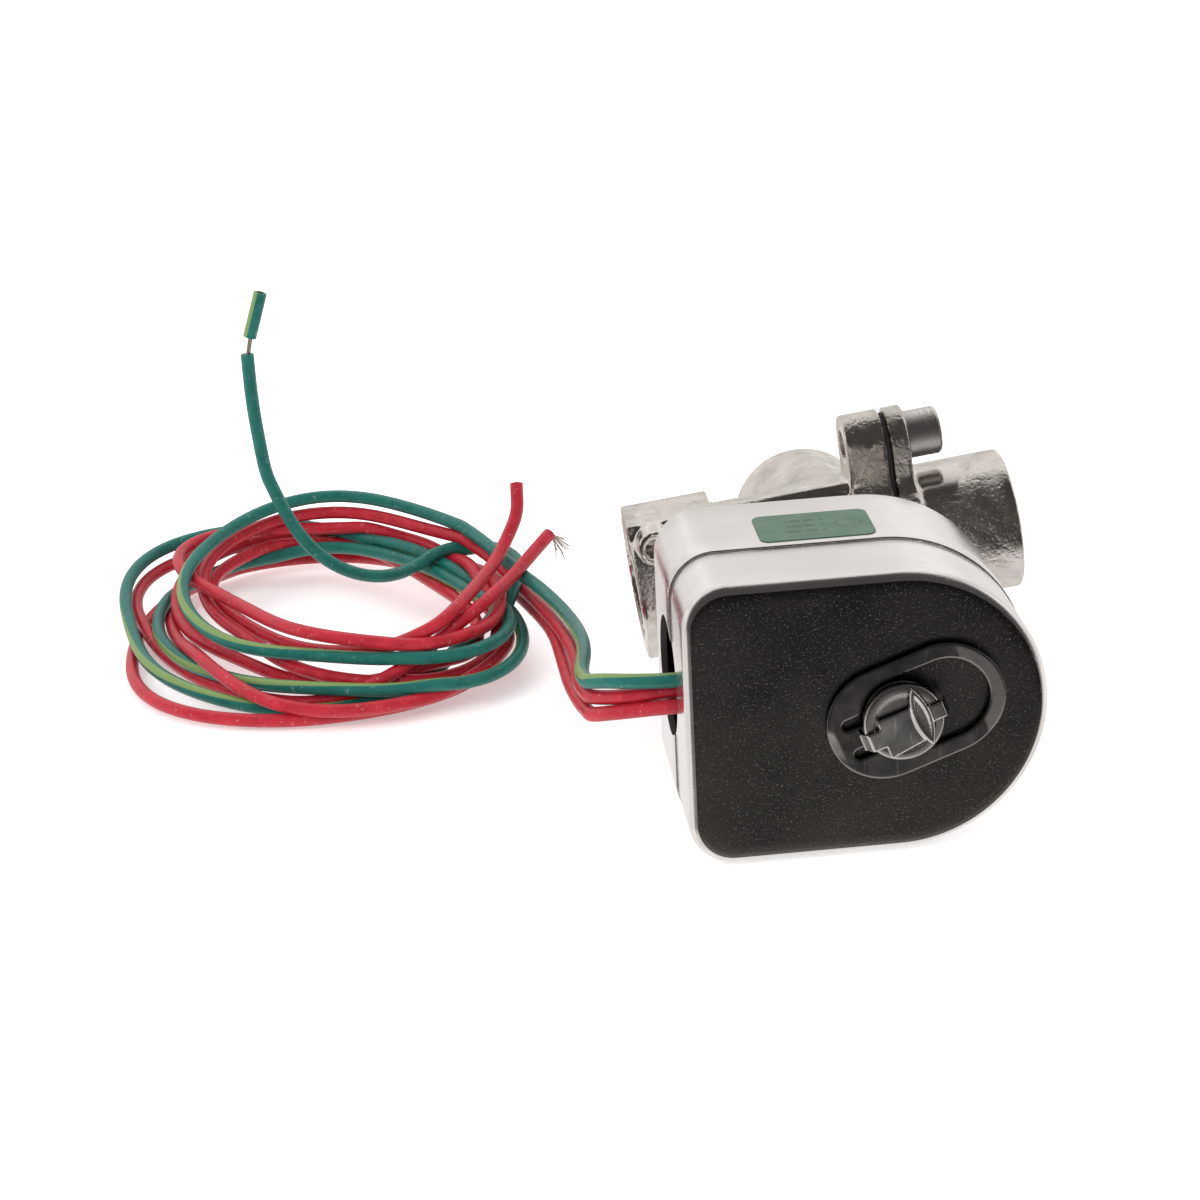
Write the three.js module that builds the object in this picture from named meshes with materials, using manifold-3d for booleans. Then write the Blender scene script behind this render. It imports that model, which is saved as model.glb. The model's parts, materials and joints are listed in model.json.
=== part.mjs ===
// Pilot-operated three-way solenoid valve lying on the straight side of its coil housing.
// Units are millimetres. +X runs to the bolted port cover, +Y from the coil to the valve, +Z up.
import * as THREE from 'three';
import { mergeVertices } from 'three/addons/utils/BufferGeometryUtils.js';
import Module from 'manifold-3d';

const wasm = await Module();
wasm.setup();

// Frame: the origin is on the floor under the middle of the housing's straight side.
const AXIS_X = 15;            // coil axis, to the right of the origin
const FRONT_Y = -29.6;        // front face of the housing

// Housing: a D lying on its straight side.
const ROUND_R = 27;           // round end, and height of the coil axis over the floor
const FLAT_X = -38.2;         // flat end with the conduit hole, from the coil axis
const CORNER_R = 8.5;
const HOUSING_DEPTH = 42;
const SEAM = 17;              // depth of the joint between front cover and rear shell
const WALL = 1.2;
const FRONT_EDGE_R = 2.2;
const SEAM_GAP = 0.3;
const COVER_STEP = 0.25;      // the front cover is this much smaller all round
const CONDUIT_R = 11.1;       // 22.2 mm hole for a half-inch conduit
const CONDUIT_Y = 23.5;
const CONDUIT_Z = 28;

// Core tube, its button end and the retaining clip.
const TUBE_R = 6.6;
const TUBE_BORE_R = 5;
const TUBE_END = 61.2;
const BUTTON_R = 7.2;
const BUTTON_FRONT = -3.6;
const GROOVE_R = 5.7;
const CLIP_TURN = 20;         // degrees the clip's long axis rises to the right
const CLIP_LEFT = -13.5;
const CLIP_RIGHT = 18.9;
const CLIP_HALF_WIDTH = 10.7;
const CLIP_SHEET = 0.8;
const CLIP_BACK = -0.35;

// Core and coil.
const CORE_R = 4.7;
const CORE_STROKE = 1.6;
const PLUGNUT_END = 16;
const CORE_END = 59.4;
const COIL_FRONT = 4;
const COIL_REAR = 38;
const COIL_R = 18;

// Valve body, in the frame turned with it about the coil axis.
const BODY_TURN = 6.5;        // degrees the pipe run rises to the right
const PORT_Y = 79.5;          // pipe run, behind the housing's front face
const LEFT_FACE = -38.5;
const RIGHT_FACE = 38.8;
const REAR_FACE = 105;
const BOSS_R = 14.2;
const LEFT_BOSS_R = 14.6;
const PORT_R = 9.1;           // half-inch pipe thread
const PORT_MOUTH_R = 10.9;
const PORT_DEPTH = 14;
const PASSAGE_R = 5.5;
const FLANGE_LEFT = 7.2;
const GASKET_LEFT = 14.9;
const GASKET_RIGHT = 16.3;
const FLANGE_RIGHT = 20;
const FLANGE_DISC_R = 15;
const LUG_Z = 21.7;
const LUG_R = 6.3;
const SCREW_HEAD_R = 4.8;
const SCREW_HEAD_LENGTH = 6.8;
const SCREW_R = 3;
const NECK_FRONT = 52.3;

// Leads.
const LEAD_R = 1.4;
const COIL_CENTRE = [-103.5, 120.5];
const COIL_OUTER = 46;
const COIL_INNER = 29;
const COIL_TOP = 11.8;

const MATERIALS = {
  plated: [0xc9c6c0, 0.32, 0.9],
  housing: [0xb4b1ab, 0.28, 0.9],
  steel: [0x8d8f92, 0.35, 0.9],
  stainless: [0xa7a49d, 0.22, 0.95],
  copper: [0xa5623a, 0.4, 0.8],
  rubber: [0x1b1b1c, 0.8, 0],
  nylon: [0xe6e0cf, 0.6, 0],
  label: [0x5f966e, 0.6, 0],
  red: [0xb01f27, 0.45, 0],
  green: [0x1f6f5c, 0.45, 0],
};

const DEGREE = Math.PI / 180;
const root = new THREE.Group();
root.position.set(AXIS_X, FRONT_Y, 0);
const coilFrame = new THREE.Group();       // coil axis along +Y at x = 0
coilFrame.position.set(0, 0, ROUND_R);
const valveFrame = new THREE.Group();      // the same axis, turned with the valve body
valveFrame.position.set(0, 0, ROUND_R);
valveFrame.rotation.y = -BODY_TURN * DEGREE;
root.add(coilFrame, valveFrame);

// ---- solids ----

function toSolid(geometry) {
  geometry.deleteAttribute('normal');
  geometry.deleteAttribute('uv');
  const merged = mergeVertices(geometry, 1e-4);
  return new wasm.Manifold(new wasm.Mesh({
    numProp: 3,
    vertProperties: new Float32Array(merged.attributes.position.array),
    triVerts: new Uint32Array(merged.index.array),
  }));
}

function toGeometry(solid) {
  const mesh = solid.getMesh();
  const geometry = new THREE.BufferGeometry();
  geometry.setAttribute('position', new THREE.BufferAttribute(mesh.vertProperties, 3));
  geometry.setIndex(new THREE.BufferAttribute(mesh.triVerts, 1));
  geometry.computeVertexNormals();
  return geometry;
}

function add(frame, name, shape, colour) {
  const [color, roughness, metalness] = MATERIALS[colour];
  const geometry = shape.isBufferGeometry ? shape : toGeometry(shape);
  const mesh = new THREE.Mesh(geometry, new THREE.MeshStandardMaterial({ color, roughness, metalness }));
  mesh.name = name;
  frame.add(mesh);
}

// A turned piece about +Y; each point is [radius, y].
function turned(points, sides = 24) {
  const profile = points.map(([radius, y]) => new THREE.Vector2(radius, y));
  return new THREE.LatheGeometry(profile, sides);
}

function disc(radius, from, to, sides = 24) {
  return turned([[0, from], [radius, from], [radius, to], [0, to]], sides);
}

function ring(inner, outer, from, to, sides = 24) {
  return turned([[inner, from], [outer, from], [outer, to], [inner, to], [inner, from]], sides);
}

// Turns a piece made along +Y so that it lies along +X at the pipe run's depth.
function alongRun(geometry) {
  geometry.rotateZ(-Math.PI / 2);
  return geometry.translate(0, PORT_Y, 0);
}

function box(x, y, z) {
  const geometry = new THREE.BoxGeometry(x[1] - x[0], y[1] - y[0], z[1] - z[0]);
  return geometry.translate((x[0] + x[1]) / 2, (y[0] + y[1]) / 2, (z[0] + z[1]) / 2);
}

// Extrudes an outline drawn in x and z from one depth to another.
function slab(shape, from, to, options = {}) {
  const geometry = new THREE.ExtrudeGeometry(shape, {
    depth: to - from, bevelEnabled: false, curveSegments: 10, ...options,
  });
  geometry.rotateX(Math.PI / 2);
  return geometry.translate(0, to, 0);
}

// ---- housing ----

function housingOutline(inset) {
  const left = FLAT_X + CORNER_R;
  const corner = CORNER_R - inset;
  const high = ROUND_R - CORNER_R;
  const shape = new THREE.Shape();
  shape.moveTo(left, -ROUND_R + inset);
  shape.lineTo(0, -ROUND_R + inset);
  shape.absarc(0, 0, ROUND_R - inset, -Math.PI / 2, Math.PI / 2, false);
  shape.lineTo(left, ROUND_R - inset);
  shape.absarc(left, high, corner, Math.PI / 2, Math.PI, false);
  shape.lineTo(FLAT_X + inset, -high);
  shape.absarc(left, -high, corner, Math.PI, Math.PI * 1.5, false);
  return shape;
}

function conduitHole() {
  const hole = disc(CONDUIT_R, FLAT_X - 5, FLAT_X + 5, 28);
  hole.rotateZ(-Math.PI / 2);
  return toSolid(hole.translate(0, CONDUIT_Y, CONDUIT_Z - ROUND_R));
}

function frontCover() {
  const rounded = {
    bevelEnabled: true, bevelSize: FRONT_EDGE_R, bevelOffset: -FRONT_EDGE_R,
    bevelThickness: FRONT_EDGE_R, bevelSegments: 2,
  };
  const outer = toSolid(slab(housingOutline(COVER_STEP), FRONT_EDGE_R, SEAM + 5, rounded));
  const behindSeam = toSolid(box([-60, 60], [SEAM, SEAM + 20], [-40, 40]));
  const inside = toSolid(slab(housingOutline(COVER_STEP + WALL), WALL, SEAM + 10));
  const eye = toSolid(disc(TUBE_R + 0.6, -5, 5));
  return outer.subtract(behindSeam).subtract(inside).subtract(eye).subtract(conduitHole());
}

function rearShell() {
  const outer = toSolid(slab(housingOutline(0), SEAM + SEAM_GAP, HOUSING_DEPTH));
  const inside = toSolid(slab(housingOutline(WALL), SEAM - 5, HOUSING_DEPTH - WALL));
  const eye = toSolid(disc(TUBE_R + 0.8, HOUSING_DEPTH - 5, HOUSING_DEPTH + 5));
  return outer.subtract(inside).subtract(eye).subtract(conduitHole());
}

function ratingLabel() {
  const [left, right, front, back, radius] = [-21, 1, 18.9, 31.7, 2];
  const shape = new THREE.Shape();
  shape.moveTo(left + radius, front);
  shape.absarc(right - radius - 1, front + radius, radius, -Math.PI / 2, 0, false);
  shape.absarc(right - radius - 1, back - radius, radius, 0, Math.PI / 2, false);
  shape.absarc(left + radius, back - radius, radius, Math.PI / 2, Math.PI, false);
  shape.absarc(left + radius, front + radius, radius, Math.PI, Math.PI * 1.5, false);
  const sheet = new THREE.ExtrudeGeometry(shape, { depth: 0.2, bevelEnabled: false, curveSegments: 4 });
  return sheet.translate(0, 0, ROUND_R + 0.02);
}

// ---- clip, strap and core tube ----

function clipOutline() {
  const shape = new THREE.Shape();
  const left = CLIP_LEFT + CLIP_HALF_WIDTH;
  const right = CLIP_RIGHT - CLIP_HALF_WIDTH;
  shape.moveTo(left, -CLIP_HALF_WIDTH);
  shape.absarc(right, 0, CLIP_HALF_WIDTH, -Math.PI / 2, Math.PI / 2, false);
  shape.absarc(left, 0, CLIP_HALF_WIDTH, Math.PI / 2, Math.PI * 1.5, false);
  return shape;
}

function clipOpening() {
  const half = CLIP_HALF_WIDTH - 3.1;
  const right = CLIP_RIGHT - CLIP_HALF_WIDTH;
  const shape = new THREE.Shape();
  shape.moveTo(2, -half);
  shape.absarc(right, 0, half, -Math.PI / 2, Math.PI / 2, false);
  shape.lineTo(2, half);
  shape.absarc(0, 0, GROOVE_R + 0.4, Math.PI / 2, Math.PI * 1.5, false);
  return shape;
}

function retainingClip() {
  const front = CLIP_BACK - CLIP_SHEET;
  let clip = toSolid(slab(clipOutline(), front, CLIP_BACK));
  clip = clip.subtract(toSolid(slab(clipOpening(), front - 1, CLIP_BACK + 1)));
  for (const z of [2.3, -3.3]) {
    const end = disc(1.1, -3, 1, 12);
    end.translate(-9.3, 0, z);
    clip = clip.subtract(toSolid(end));
    clip = clip.subtract(toSolid(box([-9.3, -3], [-3, 1], [z - 1.1, z + 1.1])));
  }
  const lip = toSolid(box([CLIP_LEFT, CLIP_LEFT + 0.8], [front - 0.8, CLIP_BACK], [-3.6, 1.4]));
  clip = clip.add(lip);
  const geometry = toGeometry(clip);
  return geometry.rotateY(-CLIP_TURN * DEGREE);
}

// Thin strap over the button, with its nose bent round the button's right edge.
function nameStrap() {
  const shape = new THREE.Shape();
  const points = [[-7.4, -2.6], [-4.6, -2.2], [-4.2, -5], [0, -6], [4.4, -5.6], [5.6, -1.4], [8, -1.4],
    [8, 1.4], [5.6, 1.4], [4.4, 5.6], [3.4, 5.6], [2, 2.7], [-4.2, 3.2], [-4.6, 0.9], [-7.4, 0.7]];
  points.forEach(([x, z], index) => (index ? shape.lineTo(x, z) : shape.moveTo(x, z)));
  const front = BUTTON_FRONT - 0.9;
  const sheet = toSolid(slab(shape, front, front + 0.6));
  const nose = toSolid(box([7.5, 8.1], [front, front + 2.6], [-1.4, 1.4]));
  const tail = toSolid(box([-8, -7.4], [front, front + 1.9], [-2.6, 0.7]));
  const geometry = toGeometry(sheet.add(nose).add(tail));
  return geometry.rotateY(-CLIP_TURN * DEGREE);
}

function coreTube() {
  return turned([
    [0, BUTTON_FRONT], [BUTTON_R - 0.5, BUTTON_FRONT], [BUTTON_R, BUTTON_FRONT + 0.5],
    [BUTTON_R, BUTTON_FRONT + 1.9], [GROOVE_R, BUTTON_FRONT + 2], [GROOVE_R, CLIP_BACK + 0.2],
    [TUBE_R, CLIP_BACK + 0.4], [TUBE_R, TUBE_END], [TUBE_BORE_R, TUBE_END], [TUBE_BORE_R, 2], [0, 2],
  ]);
}

// ---- magnet ----

function bobbin() {
  return turned([
    [7.1, COIL_FRONT], [COIL_R + 0.6, COIL_FRONT], [COIL_R + 0.6, COIL_FRONT + 1.2], [8.2, COIL_FRONT + 1.2],
    [8.2, COIL_REAR - 1.2], [COIL_R + 0.6, COIL_REAR - 1.2], [COIL_R + 0.6, COIL_REAR], [7.1, COIL_REAR],
    [7.1, COIL_FRONT],
  ], 24);
}

// Steel sleeve round the coil, open on the side where the leads come out.
function yokeSleeve() {
  const shape = new THREE.Shape();
  const open = 28 * DEGREE;
  shape.absarc(0, 0, COIL_R + 3.2, Math.PI + open, Math.PI * 3 - open, false);
  shape.absarc(0, 0, COIL_R + 1.4, Math.PI * 3 - open, Math.PI + open, true);
  return slab(shape, COIL_FRONT + 0.1, COIL_REAR - 0.1, { curveSegments: 24 });
}

function addMagnet() {
  add(coilFrame, 'coil_bobbin', bobbin(), 'nylon');
  add(coilFrame, 'coil_winding', ring(8.5, COIL_R, COIL_FRONT + 1.5, COIL_REAR - 1.5, 24), 'copper');
  add(coilFrame, 'yoke_sleeve', yokeSleeve(), 'steel');
  const frontPlate = ring(7.1, COIL_R + 3.2, COIL_FRONT - 2.2, COIL_FRONT - 0.2, 24);
  add(coilFrame, 'yoke_front_plate', frontPlate, 'steel');
  add(coilFrame, 'yoke_rear_plate', ring(7.1, COIL_R + 3.2, COIL_REAR + 0.2, COIL_REAR + 2.2, 24), 'steel');
}

// ---- core and its tube ----

function core() {
  const front = PLUGNUT_END + 0.7 + CORE_STROKE + 0.2;
  return turned([
    [0, front + 13], [2.6, front + 13], [2.6, front], [CORE_R, front], [CORE_R, CORE_END],
    [2.3, CORE_END], [2.3, CORE_END - 2.2], [0, CORE_END - 2.2],
  ], 24);
}

function coreSpring() {
  const [turns, from, to, coil, wire] = [6, 17.2, 29.4, 1.75, 0.32];
  const points = [];
  for (let step = 0; step <= turns * 9; step += 1) {
    const turn = step / 9;
    const angle = turn * 2 * Math.PI;
    const along = from + (to - from) * turn / turns;
    points.push(new THREE.Vector3(coil * Math.cos(angle), along, coil * Math.sin(angle)));
  }
  return cable(points, wire, 5, points.length - 1);
}

function addCore() {
  add(coilFrame, 'core_tube', coreTube(), 'stainless');
  add(coilFrame, 'plugnut', disc(TUBE_BORE_R - 0.3, 2.3, PLUGNUT_END, 24), 'stainless');
  add(coilFrame, 'shading_ring', ring(2.7, 3.7, PLUGNUT_END + 0.05, PLUGNUT_END + 0.6, 20), 'copper');
  add(coilFrame, 'core', core(), 'stainless');
  add(coilFrame, 'core_spring', coreSpring(), 'stainless');
  add(coilFrame, 'core_seal_disc', disc(2, CORE_END - 1.9, CORE_END + 0.6, 16), 'rubber');
  add(coilFrame, 'spring_washer', ring(7.3, 11, HOUSING_DEPTH + 0.3, HOUSING_DEPTH + 1.1, 24), 'steel');
}

// ---- valve ----

function bonnet() {
  const hexFront = HOUSING_DEPTH + 1.5;
  const hexBack = NECK_FRONT - 0.3;
  const hexagon = toSolid(disc(25.4 / Math.sqrt(3), hexFront, hexBack, 6));
  const spigot = toSolid(disc(9, hexBack - 1, TUBE_END));
  return hexagon.add(spigot).subtract(toSolid(disc(TUBE_R + 0.35, hexFront - 5, 70)));
}

// The threaded mouth that is cut into a port face; sign tells which way the port opens.
function portCut(face, sign) {
  const points = [
    [0, -PORT_DEPTH - 6], [PASSAGE_R, -PORT_DEPTH - 6], [PASSAGE_R, -PORT_DEPTH - 2], [PORT_R, -PORT_DEPTH],
    [PORT_R, -1.8], [PORT_MOUTH_R, 0], [PORT_MOUTH_R, 1], [0, 1],
  ].map(([radius, out]) => [radius, face + sign * out]);
  return turned(sign > 0 ? points : points.reverse());
}

function flangePlate(from, to) {
  const shape = new THREE.Shape();
  shape.moveTo(LUG_R, -LUG_Z);
  shape.lineTo(LUG_R, LUG_Z);
  shape.absarc(0, LUG_Z, LUG_R, 0, Math.PI, false);
  shape.lineTo(-LUG_R, -LUG_Z);
  shape.absarc(0, -LUG_Z, LUG_R, Math.PI, Math.PI * 2, false);
  const plate = new THREE.ExtrudeGeometry(shape, { depth: to - from, bevelEnabled: false, curveSegments: 8 });
  plate.rotateX(Math.PI / 2);
  plate.rotateZ(Math.PI / 2);
  plate.translate(from, PORT_Y, 0);
  return toSolid(plate).add(toSolid(alongRun(disc(FLANGE_DISC_R, from, to, 28))));
}

function lugHoles(radius, from, to) {
  const holes = [LUG_Z, -LUG_Z].map((z) => toSolid(alongRun(disc(radius, from, to, 16)).translate(0, 0, z)));
  return holes[0].add(holes[1]);
}

function valveBody() {
  const run = (radius, from, to) => toSolid(alongRun(disc(radius, from, to, 28)));
  let body = run(LEFT_BOSS_R, LEFT_FACE, -21).add(run(BOSS_R, -22, FLANGE_LEFT + 1));
  body = body.add(toSolid(box([LEFT_FACE, -20.6], [PORT_Y - 6.5, PORT_Y + 6.5], [0, 15.7])));
  body = body.add(flangePlate(FLANGE_LEFT, GASKET_LEFT));
  body = body.add(toSolid(disc(13.9, PORT_Y, REAR_FACE, 28)));
  body = body.add(toSolid(disc(13, NECK_FRONT, PORT_Y, 28)));
  const rib = alongRun(disc(1.6, -13, FLANGE_LEFT + 1, 10));
  body = body.add(toSolid(rib.translate(0, -3, 13.6)));
  const boss = disc(3.4, 68, 78, 16);
  body = body.add(toSolid(boss.translate(-33.6, 0, 12.2)));
  const bossHole = disc(1.9, 60, 74, 12);
  body = body.subtract(toSolid(bossHole.translate(-33.6, 0, 12.2)));
  body = body.subtract(toSolid(alongRun(portCut(LEFT_FACE, -1))));
  body = body.subtract(toSolid(portCut(REAR_FACE, 1)));
  body = body.subtract(run(PASSAGE_R, LEFT_FACE + PORT_DEPTH + 4, GASKET_LEFT + 1));
  body = body.subtract(toSolid(disc(PASSAGE_R, PORT_Y, REAR_FACE - PORT_DEPTH - 4)));
  body = body.subtract(run(12, 12, GASKET_LEFT + 1));
  body = body.subtract(toSolid(disc(9.4, NECK_FRONT - 1, 64)));
  body = body.subtract(toSolid(disc(3.6, 63, 68, 20)));
  body = body.subtract(toSolid(disc(1.2, 67, PORT_Y, 10)));
  body = body.subtract(toSolid(disc(2.4, -1, 6, 16).rotateX(Math.PI / 2).translate(-34, PORT_Y, 14)));
  return body.subtract(lugHoles(SCREW_R + 0.3, FLANGE_LEFT - 2, GASKET_LEFT + 1));
}

function portCover() {
  const run = (radius, from, to) => toSolid(alongRun(disc(radius, from, to, 28)));
  let cover = flangePlate(GASKET_RIGHT, FLANGE_RIGHT).add(run(BOSS_R, FLANGE_RIGHT - 1, RIGHT_FACE));
  cover = cover.subtract(toSolid(alongRun(portCut(RIGHT_FACE, 1))));
  cover = cover.subtract(run(PASSAGE_R, GASKET_RIGHT - 1, RIGHT_FACE - PORT_DEPTH - 4));
  cover = cover.subtract(run(12, GASKET_RIGHT - 1, 19));
  return cover.subtract(lugHoles(SCREW_R + 0.3, GASKET_RIGHT - 1, FLANGE_RIGHT + 1));
}

function diaphragm() {
  const sheet = flangePlate(GASKET_LEFT + 0.2, GASKET_RIGHT - 0.2);
  const eye = toSolid(alongRun(disc(7.3, GASKET_LEFT - 1, GASKET_RIGHT + 1, 28)));
  return sheet.subtract(eye).subtract(lugHoles(SCREW_R + 0.3, GASKET_LEFT - 1, GASKET_RIGHT + 1));
}

// Cap screw with a knurled round head and a hexagon socket.
function capScrew(z) {
  const head = FLANGE_RIGHT + 0.1;
  const top = head + SCREW_HEAD_LENGTH;
  const round = toSolid(turned([
    [0, 8], [SCREW_R, 8], [SCREW_R, head], [SCREW_HEAD_R, head], [SCREW_HEAD_R, top - 0.4],
    [SCREW_HEAD_R - 0.4, top], [0, top],
  ], 20));
  const socket = toSolid(disc(2.8, top - 3.2, top + 1, 6));
  const geometry = toGeometry(round.subtract(socket));
  return alongRun(geometry).translate(0, 0, z);
}

function addValve() {
  add(valveFrame, 'bonnet', bonnet(), 'stainless');
  add(valveFrame, 'bonnet_o_ring', ring(7.2, 8.9, 61.6, 63.4, 24), 'rubber');
  add(valveFrame, 'pilot_seat', turned([
    [0.8, 60.3], [1.6, 60.3], [3.3, 63.2], [3.3, 67.6], [0.8, 67.6], [0.8, 60.3],
  ], 20), 'stainless');
  add(valveFrame, 'valve_body', valveBody(), 'plated');
  const plug = disc(2.2, 14.2, 15.9, 16).rotateX(Math.PI / 2).translate(-34, PORT_Y, 0);
  add(valveFrame, 'passage_plug', plug, 'plated');
  add(valveFrame, 'diaphragm', diaphragm(), 'rubber');
  add(valveFrame, 'diaphragm_poppet', alongRun(disc(7, 13.8, 17.2, 28)), 'rubber');
  add(valveFrame, 'port_cover', portCover(), 'plated');
  add(valveFrame, 'cap_screw_top', capScrew(LUG_Z), 'steel');
  add(valveFrame, 'cap_screw_bottom', capScrew(-LUG_Z), 'steel');
}

// ---- leads ----

function cable(points, radius, sides, steps) {
  const section = new THREE.Shape();
  for (let side = 0; side < sides; side += 1) {
    const angle = side * 2 * Math.PI / sides;
    section[side ? 'lineTo' : 'moveTo'](radius * Math.cos(angle), radius * Math.sin(angle));
  }
  const path = new THREE.CatmullRomCurve3(points, false, 'centripetal');
  return new THREE.ExtrudeGeometry(section, { steps, bevelEnabled: false, extrudePath: path });
}

function lead(name, points, colour, radius = LEAD_R) {
  const path = points.map((point) => new THREE.Vector3(...point));
  const length = path.slice(1).reduce((sum, point, index) => sum + point.distanceTo(path[index]), 0);
  add(root, name, cable(path, radius, 8, Math.max(2, Math.round(length / (4.5 * radius)))), colour);
}

function addLeads() {
  lead('green_lead', [
    [-27, 16, 32], [-33, 15, 31], [-39, 15.5, 30.5], [-45, 17.5, 30], [-50, 21, 29], [-53, 25, 27.5],
    [-54, 30, 26], [-53, 38, 24.5], [-51.5, 47, 23], [-51, 60, 21], [-51.5, 74, 18.5], [-54, 88, 17.5],
    [-57, 99, 17],
  ], 'green');
  lead('red_lead_a', [
    [-27, 17.5, 28], [-33, 17.5, 28], [-39, 17.5, 27.5], [-45, 19, 26.5], [-49.5, 22.5, 25],
    [-52.5, 27, 23.5], [-53.5, 33, 22], [-53.5, 42, 20.5], [-52.5, 51, 19], [-52.5, 63, 17],
    [-53.5, 77.5, 15], [-55.5, 93, 13],
    [-58, 105, 12],
  ], 'red');
  lead('red_lead_b', [
    [-27, 14.5, 25], [-33, 14.5, 25.5], [-39, 15, 25.5], [-44.5, 17, 24.5], [-49, 20, 23], [-52.5, 24.5, 21],
    [-53.5, 30, 19.5], [-54, 39, 18], [-54.5, 48, 16], [-54.5, 60, 14], [-54.5, 75, 12], [-55, 90, 10.5],
    [-57.5, 104.5, 9],
  ], 'red');
  add(root, 'lead_coil', ring(COIL_INNER, COIL_OUTER, 0.1, COIL_TOP, 36)
    .rotateX(Math.PI / 2).translate(COIL_CENTRE[0], COIL_CENTRE[1], 0), 'red');
  lead('red_tail_a', [
    [-77.5, 83.5, 16.5], [-75, 88, 18], [-72, 93, 18.5], [-68.5, 102, 18.5], [-64.5, 110.5, 20],
    [-62, 115, 22.5], [-59.5, 119, 26.5], [-59, 122, 32],
  ], 'red');
  lead('red_tail_b', [
    [-73, 88.5, 15.5], [-69.5, 92, 16.5], [-66.5, 95.5, 17.5], [-63.5, 100, 18], [-60.5, 104.5, 19],
    [-57, 109.5, 20.5], [-53, 114.5, 22.5],
  ], 'red');
  lead('green_tail', [
    [-70.5, 133.5, 14.5], [-79.5, 128, 13], [-85.5, 122, 12.5], [-91.5, 117.5, 14], [-99, 117, 17],
    [-103.5, 117.5, 20.5], [-107, 118.5, 25.5], [-109.5, 119.5, 31], [-112, 120, 39], [-113, 120, 48],
    [-113.5, 120, 57], [-113.5, 120, 66],
  ], 'green');
  lead('bare_conductor', [[-113.5, 120, 66.4], [-113.1, 120, 67.9], [-112.7, 120, 69.4]], 'copper', 0.55);
  lead('insulation_slug', [[-112.6, 120, 69.8], [-111, 120, 74.5], [-109.5, 120, 79]], 'green');
}

add(coilFrame, 'housing_front_cover', frontCover(), 'housing');
add(coilFrame, 'housing_rear_shell', rearShell(), 'housing');
add(coilFrame, 'rating_label', ratingLabel(), 'label');
add(coilFrame, 'retaining_clip', retainingClip(), 'steel');
add(coilFrame, 'name_strap', nameStrap(), 'steel');
addMagnet();
addCore();
addValve();
addLeads();

export default root;
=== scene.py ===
"""Three-way solenoid valve, lying on its coil housing with its loose leads beside it.

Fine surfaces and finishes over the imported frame. Shapes are worked out in millimetres in one of two
frames, coil and valve, and put into the row frame in metres.
"""

import json
import math

import bpy
import numpy as np
from bpy.props import FloatProperty, FloatVectorProperty, IntProperty, PointerProperty
from mathutils import Matrix, Vector


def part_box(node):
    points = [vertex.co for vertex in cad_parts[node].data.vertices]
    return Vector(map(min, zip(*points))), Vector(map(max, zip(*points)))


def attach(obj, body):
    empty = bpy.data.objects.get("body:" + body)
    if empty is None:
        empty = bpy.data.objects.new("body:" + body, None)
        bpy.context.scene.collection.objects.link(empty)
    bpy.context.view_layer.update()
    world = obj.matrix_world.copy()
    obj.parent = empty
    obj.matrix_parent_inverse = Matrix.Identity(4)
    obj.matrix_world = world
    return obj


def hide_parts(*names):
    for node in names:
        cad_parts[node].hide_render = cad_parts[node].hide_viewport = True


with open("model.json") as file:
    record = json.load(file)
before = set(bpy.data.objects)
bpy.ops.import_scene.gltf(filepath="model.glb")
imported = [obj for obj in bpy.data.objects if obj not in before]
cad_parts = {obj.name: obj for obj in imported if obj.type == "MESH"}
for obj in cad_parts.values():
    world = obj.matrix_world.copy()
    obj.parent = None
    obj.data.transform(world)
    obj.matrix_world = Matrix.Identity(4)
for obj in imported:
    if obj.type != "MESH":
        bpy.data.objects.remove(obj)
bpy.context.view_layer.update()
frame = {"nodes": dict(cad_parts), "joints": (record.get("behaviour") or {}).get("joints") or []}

bl_info = {
    "name": "Solenoid Valve",
    "version": (1, 0, 0),
    "blender": (4, 5, 0),
    "location": "View3D > Sidebar > Solenoid Valve",
    "description": "Builds a solenoid valve, its coil housing and its leads around a packed frame",
    "category": "Add Mesh",
}

MM = 0.001


def middle(node):
    """The middle of a frame node's box, in metres."""
    low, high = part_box(node)
    return (low + high) / 2


def depth(node, end):
    """How far a node's near (0) or far (1) end is behind the housing's front face, in millimetres."""
    return (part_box(node)[end].y - FRONT_Y) / MM


AXIS_X = middle("core_tube").x
AXIS_Z = middle("core_tube").z
FRONT_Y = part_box("housing_front_cover")[0].y
RUN_AXIS = next(j["axis"] for j in frame["joints"] if j["name"] == "diaphragm_stroke")
TURN = math.atan2(RUN_AXIS[2], RUN_AXIS[0])
PORT_Y = (middle("port_cover").y - FRONT_Y) / MM
REAR_FACE = depth("valve_body", 1)

# Along the pipe run, in mm from the coil axis.
LEFT_FACE, RIGHT_FACE = -38.5, 38.8
FLANGE_LEFT, FLANGE_RIGHT = 7.2, 20.0
GASKET_LEFT, GASKET_RIGHT = 15.1, 16.1
LUGS = (-21.7, 21.7)
# Radii of the room bored for a port's thread, the passages, the diaphragm's room and the screw holes.
BORED, PASSAGE, DIAPHRAGM_ROOM, SCREW_HOLE = 10.4, 5.5, 12.0, 3.2
# The small threaded boss beside the left port: where it is along the run and above it.
SIDE_BOSS_X, SIDE_BOSS_Z = -33.6, 12.4
THREAD_PITCH = 1.814


# ---- settings ----


def size(name, description, default):
    """A length setting, in metres."""
    return FloatProperty(name=name, description=description, default=default, unit="LENGTH", precision=5)


def colour(name, description, default):
    """A colour setting."""
    return FloatVectorProperty(
        name=name, description=description, default=default, subtype="COLOR", size=3, min=0, max=1
    )


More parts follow.
